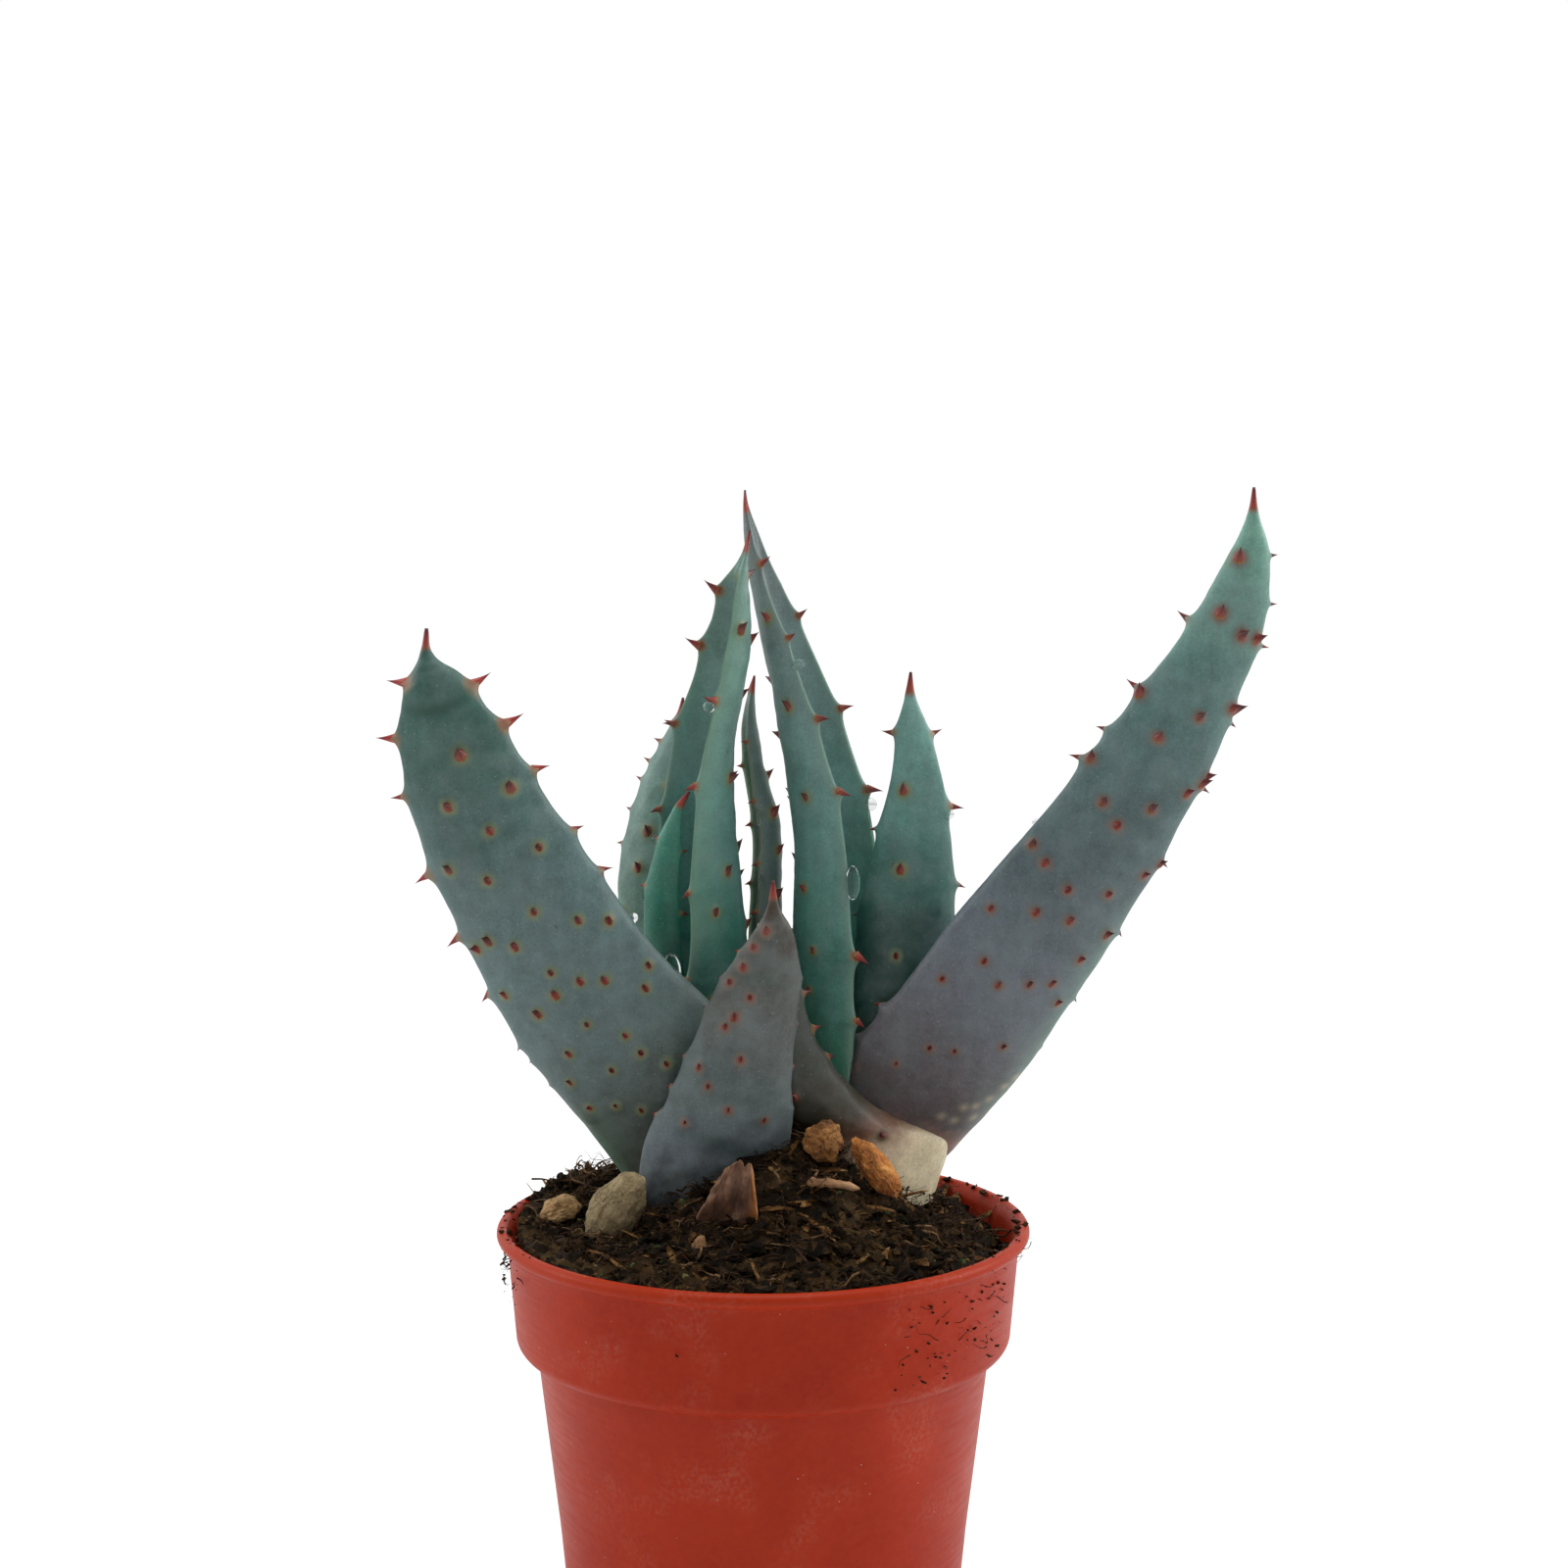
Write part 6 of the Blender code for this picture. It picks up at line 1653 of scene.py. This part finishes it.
def lip_strip(start, end):
    mesh = bpy.data.meshes.new("lip_strip")
    steps = 60
    points = []
    for radius in (RIM_RADIUS - 2.6 * MM, RIM_RADIUS - 0.6 * MM):
        for step in range(steps + 1):
            heading = math.radians(start + (end - start) * step / steps)
            points.append((radius * math.cos(heading), radius * math.sin(heading), LIP - 0.05 * MM))
    mesh.from_pydata(points, [], grid_faces(1, steps))
    return mesh


stuck_paint = paint_peat("stuck_peat", (0.006, 0.004, 0.002), (0.032, 0.016, 0.007), (0.11, 0.055, 0.022))
STUCK = (("stuck_left", wall_strip(182, 206, -9.5, -0.5, RIM_RADIUS - 1.0 * MM), 420000, 0.10, 0.50, 41),
         ("stuck_right", wall_strip(-60, -24, -16, -3.0, BAND_RADIUS - 0.05 * MM), 330000, 0.06, 0.46, 43),
         ("stuck_front", wall_strip(-120, -60, -16, -3.0, BAND_RADIUS + 0.02 * MM), 16000, 0.06, 0.32, 47),
         ("stuck_back", wall_strip(20, 170, -16, -3.0, BAND_RADIUS + 0.02 * MM), 22000, 0.08, 0.5, 49),
         ("lip_crumbs_left", lip_strip(150, 215), 600000, 0.15, 1.0, 51),
         ("lip_crumbs_right", lip_strip(-50, 30), 500000, 0.12, 0.85, 53),
         ("lip_crumbs_back", lip_strip(30, 150), 300000, 0.12, 0.9, 55))
for name, strip, count, small, large, seed in STUCK:
    piece = run_tree(name, strip, crumb_tree, {
        "Per Square Metre": float(count), "Smallest": small * MM, "Largest": large * MM, "Flatness": 0.8,
        "Roundness": 2, "Roughness": 0.6, "Seed": seed, "Paint": stuck_paint})
    hand_over(piece)
STRAYS = (("stray_wall", wall_strip(-60, -24, -15.0, -3.0, BAND_RADIUS + 0.02 * MM), 45000, 2.6, 0.09, 59),
          ("stray_left", wall_strip(176, 208, -8.0, 1.5, RIM_RADIUS - 1.2 * MM), 70000, 4.2, 0.13, 61),
          ("stray_right", wall_strip(-60, 8, -9.0, 0.5, RIM_RADIUS - 1.2 * MM), 24000, 5.0, 0.08, 63))
for name, strip, count, length, thick, seed in STRAYS:
    piece = run_tree(name, strip, fibre_tree, {
        "Per Square Metre": float(count), "Length": length * MM, "Thickness": thick * MM, "Rise": 0.6,
        "Bend": 1.5 * MM, "Seed": seed, "Paint": stuck_paint})
    hand_over(piece)

# %% [markdown]
# The plant has just been watered. Clear drops hang from its teeth, sit on its margins and
# fill the angles between leaves. A drop is a small ball flattened against whatever holds it.

# %% The drop tree
drop_tree, ends_in, ends_out = new_tree("hang_drops", [
    ("Roundness", "NodeSocketInt", 4), ("Paint", "NodeSocketMaterial", None)])
ball = wire(drop_tree, add_node(drop_tree.nodes, "GeometryNodeMeshIcoSphere"), Radius=1.0,
            Subdivisions=ends_in.outputs["Roundness"])
aimed = wire(drop_tree, add_node(drop_tree.nodes, "FunctionNodeAlignRotationToVector", axis="Z"),
             Vector=named(drop_tree, "FLOAT_VECTOR", "aim"))
copies = wire(drop_tree, add_node(drop_tree.nodes, "GeometryNodeInstanceOnPoints"),
              Points=ends_in.outputs["Geometry"], Instance=ball.outputs["Mesh"], Rotation=aimed.outputs[0],
              Scale=named(drop_tree, "FLOAT_VECTOR", "size"))
whole = wire(drop_tree, add_node(drop_tree.nodes, "GeometryNodeRealizeInstances"), Geometry=copies.outputs[0])
smooth = wire(drop_tree, add_node(drop_tree.nodes, "GeometryNodeSetShadeSmooth"), Geometry=whole.outputs[0])
painted = wire(drop_tree, add_node(drop_tree.nodes, "GeometryNodeSetMaterial"),
               Geometry=smooth.outputs[0], Material=ends_in.outputs["Paint"])
drop_tree.links.new(painted.outputs[0], ends_out.inputs[0])
print("drop tree with", len(drop_tree.nodes), "nodes")

# %% [markdown]
# Each drop is named by its leaf, its place along it and how far across, so it stays on the
# skin. Big drops hang and lengthen, and small beads sit where they are.

# %% Hang the drops
water, nodes, links, shader = new_paint("clear_water")
shader.inputs["Base Color"].default_value = (0.98, 1.0, 0.99, 1.0)
shader.inputs["Roughness"].default_value = 0.02
shader.inputs["IOR"].default_value = 1.33
shader.inputs["Transmission Weight"].default_value = 1.0
DOWN = Vector((0.0, 0.0, -1.0))
DROPS = (
    # leaf, place along it in mm, across from left 1 to right -1, half sizes in mm, hangs
    ("left_large", 43.5, -1.0, (1.6, 1.4, 3.0), True), ("left_large", 55.0, -1.0, (0.8, 0.7, 1.0), False),
    ("centre_right", 63.0, 1.0, (1.0, 0.95, 1.05), True), ("centre_right", 53.0, -1.0, (1.3, 1.0, 2.8), True),
    ("centre_right", 88.0, -1.0, (0.85, 0.75, 1.4), False), ("right_large", 74.5, 1.0, (0.6, 0.6, 0.6), False),
    ("right_short", 61.0, -0.95, (0.75, 0.75, 0.6), False), ("front_small", 17.0, -0.98, (0.6, 0.6, 0.8), True),
    ("front_small", 12.0, -0.97, (0.5, 0.5, 0.6), True), ("inner_young", 50.0, 0.98, (0.6, 0.6, 1.6), True),
    ("inner_young", 42.0, 0.98, (0.6, 0.5, 1.3), True), ("inner_young", 60.0, 0.98, (0.5, 0.5, 1.1), True),
    ("centre_left", 82.0, 1.0, (1.0, 0.9, 0.9), True), ("young_left", 54.0, 1.0, (0.75, 0.7, 0.9), True),
    ("young_left", 45.0, 1.0, (0.5, 0.5, 0.8), True), ("right_short", 52.5, 0.5, (0.4, 0.4, 0.25), False),
    ("right_short", 40.0, 0.45, (0.3, 0.3, 0.2), False), ("centre_left", 60.0, 0.6, (0.3, 0.3, 0.2), False),
    ("centre_left", 74.0, 0.8, (0.35, 0.35, 0.22), False), ("centre_right", 46.0, -0.5, (0.35, 0.35, 0.22), False),
    ("centre_right", 60.0, -0.7, (0.32, 0.32, 0.2), False), ("right_large", 40.0, 0.55, (0.28, 0.28, 0.18), False),
    ("right_large", 33.0, 0.2, (0.25, 0.25, 0.16), False), ("front_small", 30.0, -0.2, (0.3, 0.3, 0.2), False),
    ("front_small", 20.0, -0.6, (0.3, 0.3, 0.2), False), ("centre_left", 95.0, 0.8, (0.3, 0.3, 0.2), False),
    ("left_large", 62.0, -0.2, (0.3, 0.3, 0.2), False), ("centre_right", 72.0, -0.6, (0.28, 0.28, 0.2), False),
)
hung, aims, sizes = [], [], []
for leaf, place, across, size, hangs in DROPS:
    ring, column = spot(shapes[leaf], place, across)
    point, normal = shapes[leaf]["grid"][ring, column], shapes[leaf]["normals"][ring, column]
    lower = np.array(DOWN) * (size[2] * 0.65) if hangs else np.zeros(3)
    hung.append((point + normal * size[2] * 0.3 + lower) * MM)
    aims.append(DOWN if hangs else normal)
    sizes.append(np.array(size) * MM)
seeds = seed_mesh("drop_seeds", hung, aim=aims, size=sizes)
hand_over(run_tree("water_drops", seeds, drop_tree, {"Paint": water}))

# %% [markdown]
# The finished plant is measured, and its size is printed. Roots, fibres and teeth may stick
# out a little beyond the solid model, as they do on a real plant.

# %% Measure and finish
low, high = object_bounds()
print("visual model", [round(side / MM, 1) for side in high - low], "mm")
